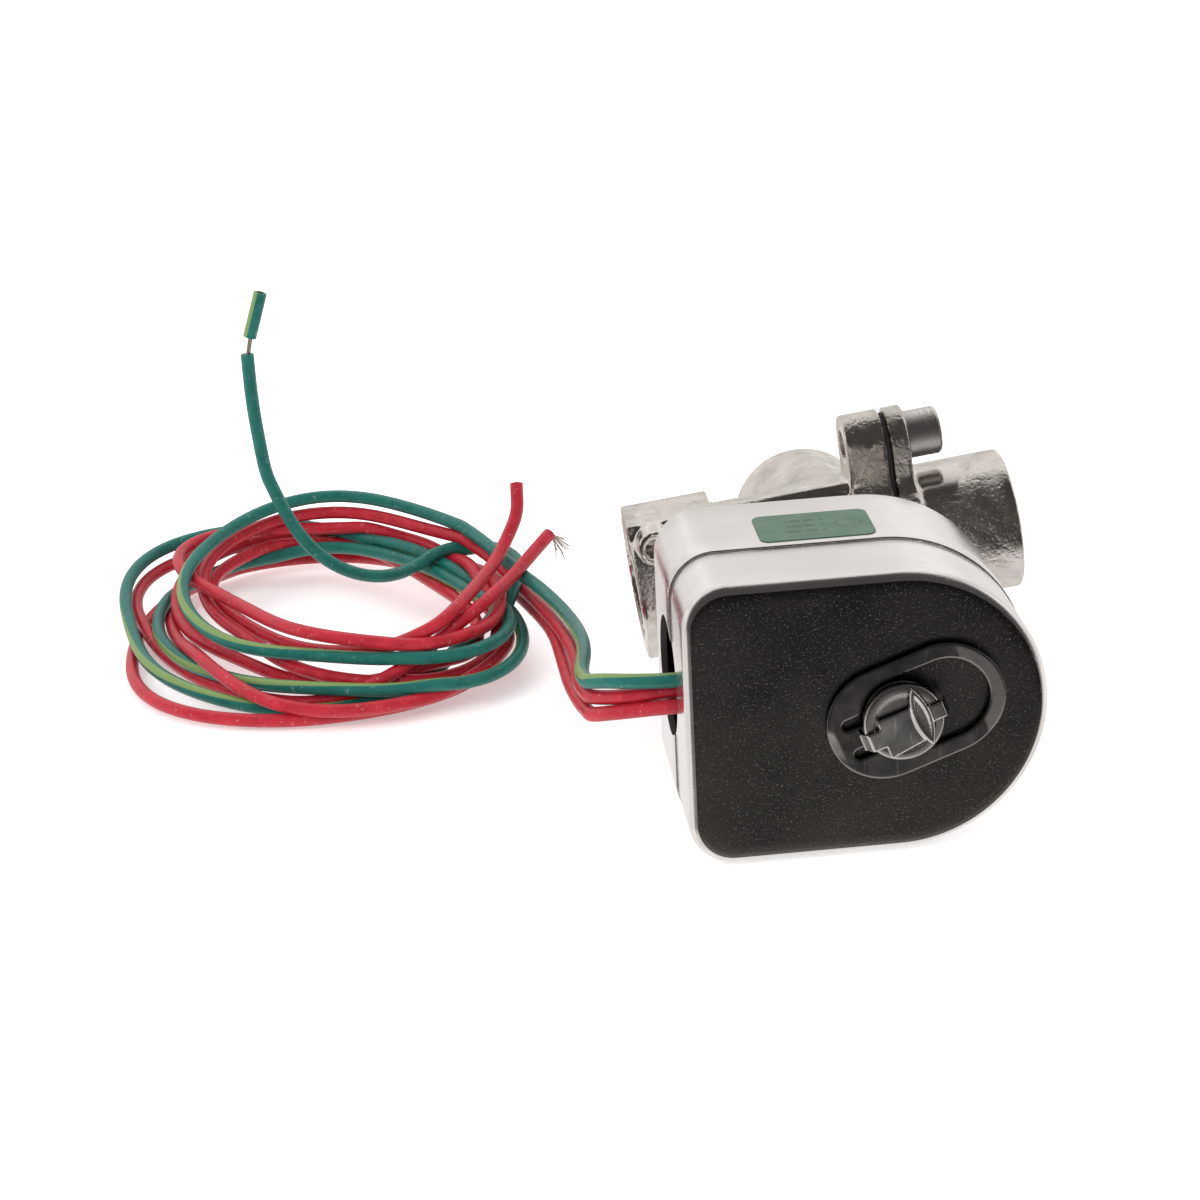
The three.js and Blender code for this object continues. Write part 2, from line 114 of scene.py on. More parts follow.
class HousingSettings(bpy.types.PropertyGroup):
    round_radius: size("Round end", "Radius of the housing's round end", 0.027)
    flat_end: size("Flat end", "From the coil axis to the flat end", 0.0382)
    corner_radius: size("Corner", "Radius of the two corners at the flat end", 0.0085)
    wall: size("Wall", "Thickness of the pressed steel", 0.0012)
    cover_step: size("Step", "How much smaller the front cover is all round", 0.00025)
    front_edge: size("Front edge", "Radius pressed round the front face", 0.0023)
    rear_edge: size("Rear edge", "Radius pressed round the rear face", 0.0030)
    conduit_radius: size("Conduit hole", "Radius of the conduit hole", 0.0111)
    conduit_depth: size("Conduit depth", "Conduit hole's middle behind the front face", 0.0235)
    conduit_rise: size("Conduit rise", "Conduit hole's middle above the coil axis", 0.001)
    steel: colour("Steel", "Bright satin steel of the sides", (0.90, 0.872, 0.852))
    # The face colour is painted shade: the front's steel is darkened to stand for the dark room it mirrors,
    # unlike the bright steel of the sides.
    face: colour("Face", "Tarnished steel of the front face", (0.117, 0.111, 0.101))
    label: colour("Label", "Film of the rating label", (0.085, 0.158, 0.103))


class ClipSettings(bpy.types.PropertyGroup):
    turn: FloatProperty(
        name="Turn", description="How far the clip's long axis rises to the right", default=math.radians(20),
        subtype="ANGLE",
    )
    half_width: size("Half width", "Half the clip's width", 0.0107)
    sheet: size("Sheet", "Thickness of the spring steel", 0.0008)
    # The clip's steel colour is darkened as painted shade, for the dark room its polished face mirrors.
    steel: colour("Steel", "Polished spring steel", (0.26, 0.25, 0.235))
    strap: colour("Strap", "Brighter plated strap", (0.66, 0.65, 0.62))


class ValveSettings(bpy.types.PropertyGroup):
    boss_radius: size("Boss", "Radius of the port bosses", 0.0142)
    bore_radius: size("Bore", "Minor radius of the port threads", 0.0091)
    mouth_radius: size("Mouth", "Radius of the port mouths", 0.0109)
    grain: size("Grain", "Spacing of the surface points on the castings", 0.0005)
    nickel: colour("Nickel", "Nickel plate over cast brass", (0.78, 0.74, 0.69))
    screw: colour("Screw", "Plated screw steel", (0.80, 0.78, 0.75))


class LeadSettings(bpy.types.PropertyGroup):
    diameter: size("Diameter", "Outside diameter of a lead", 0.0028)
    settle_steps: IntProperty(name="Settle", description="Steps in which the coil settles", default=30)
    red: colour("Red", "Insulation of the two red leads", (0.45, 0.012, 0.028))
    green: colour("Green", "Insulation of the green lead", (0.006, 0.135, 0.110))
    stripe: colour("Stripe", "Stripe on the green lead", (0.17, 0.27, 0.080))


class StageSettings(bpy.types.PropertyGroup):
    distance: size("Distance", "From the camera to the point it looks at", 0.4424)
    azimuth: FloatProperty(
        name="Azimuth", description="Camera's way round from the front", default=math.radians(-4.42),
        subtype="ANGLE",
    )
    elevation: FloatProperty(
        name="Elevation", description="Camera's height above the horizon", default=math.radians(22.43),
        subtype="ANGLE",
    )
    roll: FloatProperty(
        name="Roll", description="Camera's roll", default=math.radians(-3.15), subtype="ANGLE",
    )
    lens: FloatProperty(name="Lens", description="Focal length in mm on a 36 mm sensor", default=78.0)
    floor: colour("Floor", "Plain pale floor", (0.93, 0.93, 0.93))


def settings(name):
    """One of the scene's groups of settings."""
    return getattr(bpy.context.scene, name)


# ---- surfaces ----


def coil_to_row(points):
    """Coil frame in mm (x from the coil axis, y behind the front face, z above the axis) to row metres."""
    points = np.asarray(points, float)
    return points * MM + np.array([AXIS_X, FRONT_Y, AXIS_Z])


def floor_to_row(points):
    """As coil_to_row, but with z above the floor."""
    points = np.asarray(points, float)
    return points * MM + np.array([AXIS_X, FRONT_Y, 0.0])


def valve_to_row(points):
    """Valve frame in mm (turned with the body about the coil axis) to row metres."""
    x, y, z = np.asarray(points, float).T
    cos, sin = math.cos(TURN), math.sin(TURN)
    return coil_to_row(np.stack([x * cos - z * sin, y, x * sin + z * cos], 1))


def grid_faces(rows, columns, wrap_rows):
    """Quads between neighbours on a grid of points stored row by row, each row a closed ring."""
    row = np.arange(rows if wrap_rows else rows - 1)
    i, j = np.meshgrid(row, np.arange(columns), indexing="ij")
    i2, j2 = (i + 1) % rows, (j + 1) % columns
    quads = np.stack([i * columns + j, i * columns + j2, i2 * columns + j2, i2 * columns + j], -1)
    return quads.reshape(-1, 4)


def outward(points, faces):
    """Turns the faces over if the closed shell they make has a negative volume."""
    volume = 0.0
    for group in faces:
        a, b = points[group[:, 0]], points[group[:, 1]]
        for k in range(2, group.shape[1]):
            c = points[group[:, k]]
            volume += np.einsum("ij,ij->", a, np.cross(b, c))
            b = c
    return faces if volume > 0 else [group[:, ::-1] for group in faces]


def closed_rings(rings, capped=True):
    """A shell through rings of equal count, shape (rows, columns, 3), closed by a pole at each end.

    Without caps the last ring joins the first, which makes a closed collar.
    """
    rows, columns, _ = rings.shape
    points = rings.reshape(-1, 3)
    faces = [grid_faces(rows, columns, not capped)]
    if capped:
        poles = np.stack([rings[0].mean(0), rings[-1].mean(0)])
        points = np.concatenate([points, poles])
        j = np.arange(columns)
        j2 = (j + 1) % columns
        first, last = rows * columns, rows * columns + 1
        base = (rows - 1) * columns
        faces.append(np.stack([np.full(columns, first), j2, j], 1))
        faces.append(np.stack([np.full(columns, last), base + j, base + j2], 1))
    return points, outward(points, faces)


def eased(points, radius, steps=4):
    """A profile with each inner corner replaced by a short arc of about the given radius."""
    points = np.asarray(points, float)
    result = [points[:1]]
    for before, corner, after in zip(points[:-2], points[1:-1], points[2:]):
        cut = min(radius, np.linalg.norm(before - corner) / 2.2, np.linalg.norm(after - corner) / 2.2)
        start = corner + (before - corner) / np.linalg.norm(before - corner) * cut
        end = corner + (after - corner) / np.linalg.norm(after - corner) * cut
        t = np.linspace(0, 1, steps + 1)[:, None]
        result.append((1 - t) ** 2 * start + 2 * t * (1 - t) * corner + t**2 * end)
    result.append(points[-1:])
    return np.concatenate(result)


def turned(profile, sides=96, capped=True, ripple=None):
    """A profile of (radius, y) turned about +Y: x = r cos a, z = r sin a. ripple changes r with a and y."""
    profile = np.asarray(profile, float)
    angle = np.linspace(0, 2 * np.pi, sides, endpoint=False)
    radius = np.repeat(profile[:, :1], sides, 1)
    along = np.repeat(profile[:, 1:], sides, 1)
    if ripple is not None:
        radius = ripple(radius, angle[None, :], along)
    rings = np.stack([radius * np.cos(angle), along, radius * np.sin(angle)], -1)
    return closed_rings(rings, capped)


def along_run(points, z=0.0):
    """Turns a piece made about +Y so that it lies along the pipe run, +X, at height z."""
    return np.stack([points[:, 1], PORT_Y + points[:, 0], z + points[:, 2]], 1)


def join(*parts):
    """Joins (points, faces) shells into one, and numbers each face by the shell it came from."""
    points, faces, owner, start = [], [], [], 0
    for number, (part_points, part_faces) in enumerate(parts):
        points.append(part_points)
        for group in part_faces:
            faces.append(group + start)
            owner.append(np.full(len(group), number))
        start += len(part_points)
    return np.concatenate(points), faces, np.concatenate(owner)


def add_piece(name, points, faces, body, nodes, finishes, owner=None, smooth=40.0, uv=None):
    """Puts a shell into the scene: rides a body, replaces its nodes, and takes its finishes."""
    mesh = bpy.data.meshes.new(name)
    mesh.from_pydata(points.tolist(), [], [face for group in faces for face in group.tolist()])
    mesh.shade_smooth()
    mesh.set_sharp_from_angle(angle=math.radians(smooth))
    for finish in finishes:
        mesh.materials.append(finish)
    if owner is not None:
        mesh.polygons.foreach_set("material_index", np.minimum(owner, len(finishes) - 1).astype(np.int32))
    if uv is not None:
        layer = mesh.uv_layers.new(name="along")
        loops = np.empty(len(mesh.loops), np.int32)
        mesh.loops.foreach_get("vertex_index", loops)
        layer.data.foreach_set("uv", uv[loops].astype(np.float32).ravel())
    mesh.update()
    piece = bpy.data.objects.new(name, mesh)
    bpy.context.scene.collection.objects.link(piece)
    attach(piece, body)
    if nodes:
        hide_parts(*nodes)
    return piece


def cut_hole(piece, points, faces):
    """Cuts a closed shell out of a piece."""
    mesh = bpy.data.meshes.new("cutter")
    mesh.from_pydata(points.tolist(), [], [face for group in faces for face in group.tolist()])
    cutter = bpy.data.objects.new("cutter", mesh)
    bpy.context.scene.collection.objects.link(cutter)
    modifier = piece.modifiers.new("hole", "BOOLEAN")
    modifier.operation, modifier.solver, modifier.object = "DIFFERENCE", "EXACT", cutter
    bpy.context.view_layer.update()
    graph = bpy.context.evaluated_depsgraph_get()
    cut = bpy.data.meshes.new_from_object(piece.evaluated_get(graph), depsgraph=graph)
    piece.modifiers.clear()
    old = piece.data
    cut.name = old.name + "_cut"
    piece.data = cut
    bpy.data.meshes.remove(old)
    bpy.data.objects.remove(cutter)
    bpy.data.meshes.remove(mesh)
    piece.data.shade_smooth()
    piece.data.set_sharp_from_angle(angle=math.radians(35))


# ---- distance fields, for castings and bent sheet ----


def soft_union(a, b, fillet):
    """Smooth minimum of two distance fields, which leaves a fillet where they meet."""
    h = np.clip(0.5 + 0.5 * (b - a) / fillet, 0, 1)
    return b + (a - b) * h - fillet * h * (1 - h)


def soft_cut(a, b, edge=0.35):
    """Field a with field b taken away, with a small rounded edge."""
    return -soft_union(-a, b, edge)


def slabbed(flat, across, low, high, edge):
    """A flat field carried from low to high along across, with its rims rounded by edge."""
    side = flat + edge
    end = np.abs(across - (low + high) / 2) - (high - low) / 2 + edge
    return np.hypot(np.maximum(side, 0), np.maximum(end, 0)) + np.minimum(np.maximum(side, end), 0) - edge


def rod(across_a, across_b, along, radius, low, high, edge=0.4):
    """A round bar: distance from its axis less the radius, between two ends."""
    return slabbed(np.hypot(across_a, across_b) - radius, along, low, high, edge)


def block(x, y, z, x_span, y_span, z_span, edge=0.4):
    """A rounded box."""
    sides = [np.abs(value - (low + high) / 2) - (high - low) / 2 + edge
             for value, (low, high) in zip((x, y, z), (x_span, y_span, z_span))]
    outside = np.sqrt(sum(np.maximum(side, 0) ** 2 for side in sides))
    return outside + np.minimum(np.maximum(np.maximum(sides[0], sides[1]), sides[2]), 0) - edge


def surface_of(field, low, high, step):
    """The zero surface of a field, as quads.

    Each grid cell that the surface crosses gets one point, the mean of the crossings on its edges, moved
    onto the surface along the field's slope. Each grid edge that is crossed gets a quad between its four
    cells.
    """
    low, high = np.asarray(low, float), np.asarray(high, float)
    count = np.ceil((high - low) / step).astype(int) + 1
    axes = [low[k] + step * np.arange(count[k]) for k in range(3)]
    x, y, z = np.meshgrid(*axes, indexing="ij")
    value = field(x, y, z)
    inside = value < 0
    corners = [(a, b, c) for a in (0, 1) for b in (0, 1) for c in (0, 1)]

    def shifted(array, corner):
        a, b, c = corner
        return array[a:array.shape[0] - 1 + a, b:array.shape[1] - 1 + b, c:array.shape[2] - 1 + c]

    filled = sum(shifted(inside, corner).astype(np.int8) for corner in corners)
    active = (filled > 0) & (filled < 8)
    cell = np.argwhere(active)
    index = np.full(active.shape, -1)
    index[active] = np.arange(len(cell))
    total, hits = np.zeros((len(cell), 3)), np.zeros(len(cell))
    for start in corners:
        for axis in range(3):
            if start[axis]:
                continue
            end = tuple(1 if k == axis else start[k] for k in range(3))
            a, b = shifted(value, start)[active], shifted(value, end)[active]
            crossed = (a < 0) != (b < 0)
            share = np.where(crossed, a / np.where(crossed, a - b, 1), 0)
            place = cell + np.array(start) + share[:, None] * (np.array(end) - np.array(start))
            total += place * crossed[:, None]
            hits += crossed
    points = low + step * total / hits[:, None]
    centre = low + step * (cell + 0.5)
    small = step * 0.05
    for _ in range(3):
        here = field(*points.T)
        slope = np.stack([field(*(points + small * np.eye(3)[k]).T) - here for k in range(3)], 1) / small
        points = points - here[:, None] * slope / np.maximum((slope**2).sum(1), 0.05)[:, None]
        points = centre + np.clip(points - centre, -0.5 * step, 0.5 * step)
    faces = []
    for axis in range(3):
        first = [slice(None)] * 3
        second = [slice(None)] * 3
        first[axis], second[axis] = slice(0, -1), slice(1, None)
        change = inside[tuple(first)].astype(np.int8) - inside[tuple(second)].astype(np.int8)
        edge = np.argwhere(change != 0)
        others = [k for k in range(3) if k != axis]
        edge = edge[(edge[:, others[0]] > 0) & (edge[:, others[1]] > 0)]
        edge = edge[(edge[:, others[0]] < count[others[0]] - 1) & (edge[:, others[1]] < count[others[1]] - 1)]
        way = change[tuple(edge.T)]
        quad = []
        for p, q in ((1, 1), (0, 1), (0, 0), (1, 0)):
            place = edge.copy()
            place[:, others[0]] -= p
            place[:, others[1]] -= q
            quad.append(index[tuple(place.T)])
        quad = np.stack(quad, 1)
        flip = (way > 0) != (axis == 1)
        quad[~flip] = quad[~flip][:, ::-1]
        faces.append(quad)
    return points, outward(points, [np.concatenate(faces)])


# ---- finishes ----


class Patterns:
    """Helpers that add pattern and arithmetic nodes to a node tree."""

    def __init__(self, owner, coordinates):
        owner.use_nodes = True
        self.nodes, self.links = owner.node_tree.nodes, owner.node_tree.links
        self.place = self.add("TexCoord").outputs[coordinates]

    def add(self, kind, **inputs):
        """A shader node of a kind, with some of its inputs given their values."""
        node = self.nodes.new("ShaderNode" + kind)
        for socket, value in inputs.items():
            node.inputs[socket.replace("_", " ")].default_value = value
        return node

    def noise(self, scale, detail=4.0, rough=0.55, place=None):
        node = self.add("TexNoise", Scale=scale, Detail=detail, Roughness=rough)
        self.links.new(place or self.place, node.inputs["Vector"])
        return node.outputs["Fac"]

    def cells(self, scale):
        node = self.add("TexVoronoi", Scale=scale)
        self.links.new(self.place, node.inputs["Vector"])
        return node.outputs["Distance"]

    def stretched(self, scale, turn=(0, 0, 0)):
        """The coordinates in a pattern's own scale and direction."""
        node = self.add("Mapping", Scale=scale, Rotation=turn)
        self.links.new(self.place, node.inputs["Vector"])
        return node.outputs["Vector"]

    def split(self, vector):
        """The X, Y and Z outputs of a vector."""
        node = self.add("SeparateXYZ")
        self.links.new(vector, node.inputs[0])
        return node.outputs

    def ramp(self, value, low, high, out_low=0.0, out_high=1.0, smooth=False):
        """A pattern's range from low to high, stretched to out_low to out_high."""
        node = self.add("MapRange", From_Min=low, From_Max=high, To_Min=out_low, To_Max=out_high)
        if smooth:
            node.interpolation_type = "SMOOTHSTEP"
        self.links.new(value, node.inputs["Value"])
        return node.outputs["Result"]

    def combine(self, operation, *values):
        """Arithmetic on numbers and patterns."""
        node = self.add("Math")
        node.operation = operation
        for socket, value in zip(node.inputs, values):
            if isinstance(value, (int, float)):
                socket.default_value = value
            else:
                self.links.new(value, socket)
        return node.outputs[0]

    def near(self, value, centre, reach):
        """1 where a value is within reach of a centre, and 0 elsewhere."""
        away = self.combine("ABSOLUTE", self.combine("SUBTRACT", value, centre))
        return self.combine("LESS_THAN", away, reach)

    def mix(self, factor, a, b):
        """Colour a where factor is 0 and b where it is 1."""
        node = self.add("Mix")
        node.data_type = "RGBA"
        self.links.new(factor, node.inputs["Factor"])
        for socket, value in zip((node.inputs[6], node.inputs[7]), (a, b)):
            if isinstance(value, tuple):
                socket.default_value = (*value, 1.0)
            else:
                self.links.new(value, socket)
        return node.outputs[2]


class Finish(Patterns):
    """A node material with one shader, driven by patterns on the piece's own coordinates."""

    def __init__(self, name, base, metallic, roughness):
        self.material = bpy.data.materials.new(name)
        super().__init__(self.material, "Object")
        self.shader = self.nodes["Principled BSDF"]
        self.set("Base Color", (*base, 1.0))
        self.set("Metallic", metallic)
        self.set("Roughness", roughness)
        self.bumped = None

    def set(self, socket, value):
        self.shader.inputs[socket].default_value = value

    def drive(self, socket, value):
        self.links.new(value, self.shader.inputs[socket])

    def bump(self, height, distance):
        """Adds a height pattern, in metres, over those already there."""
        node = self.add("Bump", Distance=distance, Strength=1.0)
        self.links.new(height, node.inputs["Height"])
        if self.bumped:
            self.links.new(self.bumped, node.inputs["Normal"])
        self.bumped = node.outputs["Normal"]
        self.drive("Normal", self.bumped)


def scaled(colour_value, factor):
    """A colour made darker or lighter, kept within 0 to 1."""
    return tuple(min(1.0, channel * factor) for channel in colour_value)


def satin_steel(name, base):
    """Pressed steel with a bright satin skin: fine grain, faint clouds and a few handling scratches."""
    rough = 0.24
    finish = Finish(name, base, 1.0, rough)
    cloud = finish.noise(45, 3)
    grain = finish.noise(2600, 2)
    clouded = finish.ramp(cloud, 0.35, 0.7)
    finish.drive("Base Color", finish.mix(clouded, scaled(base, 0.93), scaled(base, 1.05)))
    scratch = finish.noise(1, 3, 0.6, finish.stretched((60, 900, 900), (0.3, 0.2, 0.5)))
    worn = finish.ramp(scratch, 0.62, 0.7, 0.0, 0.18)
    sheen = finish.ramp(cloud, 0.3, 0.7, rough - 0.05, rough + 0.05)
    finish.drive("Roughness", finish.combine("ADD", sheen, worn))
    finish.bump(grain, 0.000012)
    finish.bump(cloud, 0.00012)
    return finish.material


def shaded_front_face(name, base):
    """The housing's front: smooth plate whose dark base colour is painted shade, standing for the dark room
    it mirrors, with pale specks of dust, pits and short fine scratches.
    """
    finish = Finish(name, base, 1.0, 0.28)
    specks = finish.ramp(finish.cells(1500), 0.17, 0.06)
    field = finish.ramp(finish.noise(170, 4), 0.40, 0.62, 0.25)
    dust = finish.combine("MULTIPLY", specks, field)
    fine = finish.ramp(finish.noise(2400, 2), 0.60, 0.74)
    pale = finish.combine("MAXIMUM", dust, finish.combine("MULTIPLY", fine, 0.55))
    lines = [finish.noise(1, 2, 0.5, finish.stretched((260, 10, 3600), (0, turn, 0))) for turn in (0.5, -0.9)]
    scratch = finish.ramp(finish.combine("MAXIMUM", *lines), 0.72, 0.78)
    mark = finish.combine("MAXIMUM", pale, finish.combine("MULTIPLY", scratch, 0.35))
    cloud = finish.noise(60, 4)
    # The dark plate colour is painted shade for the front's dark reflection; the pale marks are real dust and
    # scratches.
    plate = finish.mix(cloud, scaled(base, 0.8), scaled(base, 1.2))
    finish.drive("Base Color", finish.mix(mark, plate, scaled(base, 4.5)))
    sheen = finish.ramp(cloud, 0.3, 0.7, 0.22, 0.34)
    finish.drive("Roughness", finish.combine("ADD", sheen, finish.combine("MULTIPLY", mark, 0.3)))
    finish.bump(pale, 0.00004)
    finish.bump(finish.noise(900, 3), 0.00001)
    return finish.material


def cast_nickel(name, base):
    """Sand-cast brass under nickel: rough grain that comes and goes, smooth where it was ground."""
    finish = Finish(name, base, 1.0, 0.3)
    patch = finish.ramp(finish.noise(75, 3), 0.42, 0.58)
    grain = finish.noise(1500, 3, 0.65)
    pits = finish.ramp(finish.cells(1100), 0.05, 0.5)
    skin = finish.combine("ADD", grain, finish.combine("MULTIPLY", pits, 0.5))
    rough = finish.combine("MULTIPLY", patch, skin)
    stain = finish.noise(220, 4)
    finish.drive("Base Color", finish.mix(finish.ramp(stain, 0.45, 0.75), base, scaled(base, 0.72)))
    finish.drive("Roughness", finish.ramp(patch, 0, 1, 0.12, 0.36))
    finish.bump(rough, 0.00022)
    finish.bump(finish.noise(420, 3), 0.00006)
    return finish.material


def turned_metal(name, base, rough=0.22):
    """Metal turned on a lathe: fine close tool marks and light handling wear."""
    finish = Finish(name, base, 1.0, rough)
    marks = finish.noise(5200, 1)
    wear = finish.noise(180, 4)
    finish.drive("Roughness", finish.ramp(wear, 0.3, 0.7, rough - 0.06, rough + 0.12))
    finish.drive("Base Color", finish.mix(finish.ramp(wear, 0.5, 0.8), base, scaled(base, 0.75)))
    finish.bump(marks, 0.000008)
    return finish.material


def spring_steel(name, base):
    """Polished spring steel, slightly smeared, with hairline scratches."""
    finish = Finish(name, base, 1.0, 0.16)
    smear = finish.noise(240, 4)
    lines = finish.noise(1, 2, 0.5, finish.stretched((2200, 10, 160), (0, 0.7, 0)))
    hair = finish.ramp(lines, 0.66, 0.74, 0, 0.22)
    finish.drive("Roughness", finish.combine("ADD", finish.ramp(smear, 0.3, 0.7, 0.12, 0.24), hair))
    finish.drive("Base Color", finish.mix(smear, scaled(base, 0.85), scaled(base, 1.25)))
    finish.bump(smear, 0.00002)
    return finish.material


def insulation(name, base, stripe=None):
    """Extruded insulation with a soft gloss; the stripe follows the tube's own lengthwise map."""
    finish = Finish(name, base, 0.0, 0.34)
    cloud = finish.noise(320, 4)
    tone = finish.mix(finish.ramp(cloud, 0.35, 0.7), scaled(base, 0.86), scaled(base, 1.14))
    scuff = finish.ramp(finish.noise(1100, 3), 0.62, 0.74)
    if stripe:
        around = finish.add("UVMap")
        around.uv_map = "along"
        band = finish.ramp(finish.split(around.outputs["UV"])["X"], 0.90, 0.93)
        tone = finish.mix(band, tone, stripe)
    finish.drive("Base Color", finish.mix(finish.combine("MULTIPLY", scuff, 0.25), tone, (0.6, 0.6, 0.58)))
    finish.drive("Roughness", finish.ramp(cloud, 0.3, 0.7, 0.27, 0.44))
    finish.bump(finish.noise(700, 3), 0.00004)
    return finish.material


def dull(name, base, rough, metallic=0.0):
    """A plain moulded, drawn or pressed material with a fine uneven grain."""
    finish = Finish(name, base, metallic, rough)
    cloud = finish.noise(150, 4)
    finish.drive("Base Color", finish.mix(cloud, scaled(base, 0.8), scaled(base, 1.2)))
    finish.drive("Roughness", finish.ramp(cloud, 0.3, 0.7, max(0.05, rough - 0.1), min(1, rough + 0.1)))
    finish.bump(finish.noise(900, 3), 0.00003)
    return finish.material


def light_table(name, base):
    """A pale floor that glows a little, as a light table does, so that little shadow shows on it."""
    finish = Finish(name, base, 0.0, 0.7)
    finish.drive("Base Color", finish.mix(finish.noise(7, 3), scaled(base, 0.97), scaled(base, 1.03)))
    finish.set("Emission Color", (1.0, 1.0, 1.0, 1.0))
    finish.set("Emission Strength", 0.33)
    return finish.material


def wound_copper(name):
    """Enamelled wire wound close along the coil axis."""
    finish = Finish(name, (0.45, 0.13, 0.04), 0.9, 0.35)
    wave = finish.add("TexWave", Scale=1100)
    wave.bands_direction = "Y"
    finish.links.new(finish.place, wave.inputs["Vector"])
    tone = finish.noise(300, 3)
    finish.drive("Base Color", finish.mix(tone, (0.36, 0.10, 0.03), (0.55, 0.18, 0.06)))
    finish.bump(wave.outputs["Fac"], 0.0002)
    return finish.material


def label_film(name, base):
    """Green film with soft wear; neutral bars and an empty ring stand for its printing."""
    finish = Finish(name, base, 0.0, 0.5)
    place = finish.split(finish.place)
    low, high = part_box("rating_label")
    across = finish.ramp(place["X"], low.x, high.x)
    back = finish.ramp(place["Y"], low.y, high.y)
    row = finish.combine("FRACT", finish.combine("MULTIPLY", back, 5.0))
    broken = finish.ramp(finish.noise(1, 1, 0.5, finish.stretched((900, 60, 1))), 0.44, 0.5)
    bars = finish.combine("MULTIPLY", finish.near(row, 0.5, 0.2), broken)
    field = finish.combine("MULTIPLY", finish.near(across, 0.40, 0.2), finish.near(back, 0.5, 0.38))
    bars = finish.combine("MULTIPLY", bars, field)
    sides = [finish.combine("MULTIPLY", finish.combine("SUBTRACT", value, centre), stretch)
             for value, centre, stretch in ((across, 0.80, 1.7), (back, 0.5, 1.6))]
    squares = [finish.combine("MULTIPLY", side, side) for side in sides]
    ring = finish.near(finish.combine("SQRT", finish.combine("ADD", *squares)), 0.19, 0.022)
    ink = finish.combine("MULTIPLY", finish.combine("MAXIMUM", bars, ring), 0.5)
    tone = finish.mix(finish.noise(500, 3), scaled(base, 0.88), scaled(base, 1.12))
    finish.drive("Base Color", finish.mix(ink, tone, scaled(base, 0.35)))
    finish.drive("Roughness", finish.ramp(finish.noise(260, 3), 0.3, 0.7, 0.4, 0.6))
    finish.bump(finish.noise(900, 2), 0.00001)
    return finish.material


FINISHES = {}


def make_finishes():
    """Fills the shared table of finishes from the colour settings."""
    housing, clip = settings("valve_housing"), settings("valve_clip")
    body, leads = settings("valve_body_settings"), settings("valve_leads")
    nickel, screw = tuple(body.nickel), tuple(body.screw)
    FINISHES.update(
        satin=satin_steel("satin_steel", tuple(housing.steel)),
        face=shaded_front_face("shaded_front_face", tuple(housing.face)),
        # The housing's inner faces get a dark base colour, much darker than the outside steel.
        inside=dull("dark_inside", (0.12, 0.115, 0.11), 0.5, metallic=0.8),
        # The front face's dark base colour is painted shade.
        label=label_film("label_film", tuple(housing.label)),
        # The clip's dark steel colour is painted shade.
        spring=spring_steel("spring_steel", tuple(clip.steel)),
        strap=spring_steel("plated_strap", tuple(clip.strap)),
        cast=cast_nickel("cast_nickel", nickel),
        machined=turned_metal("machined_nickel", scaled(nickel, 1.06)),
        stainless=turned_metal("turned_stainless", (0.62, 0.60, 0.57), 0.2),
        screw=turned_metal("screw_steel", screw, 0.3),
        plain=dull("plated_steel", (0.42, 0.42, 0.42), 0.35, metallic=1.0),
        copper=wound_copper("wound_copper"),
        tinned=turned_metal("tinned_wire", (0.66, 0.60, 0.52), 0.3),
        rubber=dull("moulded_rubber", (0.018, 0.018, 0.02), 0.7),
        nylon=dull("moulded_nylon", (0.70, 0.66, 0.55), 0.5),
        red=insulation("red_insulation", tuple(leads.red)),
        green=insulation("green_insulation", tuple(leads.green), tuple(leads.stripe)),
    )


# ---- housing ----


def housing_outline(inset):
    """The D pulled in by inset: round end, straight side, corner, flat end, corner, straight side.

    A point is a centre plus the radius left over times its outward direction, so that every inset has
    the same count of points and they face each other.
    """
    group = settings("valve_housing")
    count = 40
    radius, corner = group.round_radius / MM, group.corner_radius / MM
    left, high = corner - group.flat_end / MM, radius - corner
    right_way = np.linspace(-np.pi / 2, np.pi / 2, count * 2)
    upper = np.linspace(np.pi / 2, np.pi, count // 2)
    lower = np.linspace(np.pi, np.pi * 1.5, count // 2)
    side = np.linspace(0, left, count)[1:-1]
    ends = np.linspace(high, -high, count // 2)[1:-1]
    parts = [
        (np.zeros_like(right_way), np.zeros_like(right_way), radius, right_way),
        (side, np.full_like(side, high), corner, np.full_like(side, np.pi / 2)),
        (np.full_like(upper, left), np.full_like(upper, high), corner, upper),
        (np.full_like(ends, left), ends, corner, np.full_like(ends, np.pi)),
        (np.full_like(lower, left), np.full_like(lower, -high), corner, lower),
        (side[::-1], np.full_like(side, -high), corner, np.full_like(side, -np.pi / 2)),
    ]
    x = np.concatenate([cx + (size_left - inset) * np.cos(way) for cx, cz, size_left, way in parts])
    z = np.concatenate([cz + (size_left - inset) * np.sin(way) for cx, cz, size_left, way in parts])
    return x, z


def face_rings(inset, y, hole, shares):
    """Rings across a cup's flat face: each share of the way, straight from the D in to the round hole."""
    x, z = housing_outline(inset)
    angle = np.arctan2(z, x)
    inward = np.stack([hole * np.cos(angle) - x, np.zeros_like(x), hole * np.sin(angle) - z], 1)
    return [np.stack([x, np.full_like(x, y), z], 1) + inward * share for share in shares]


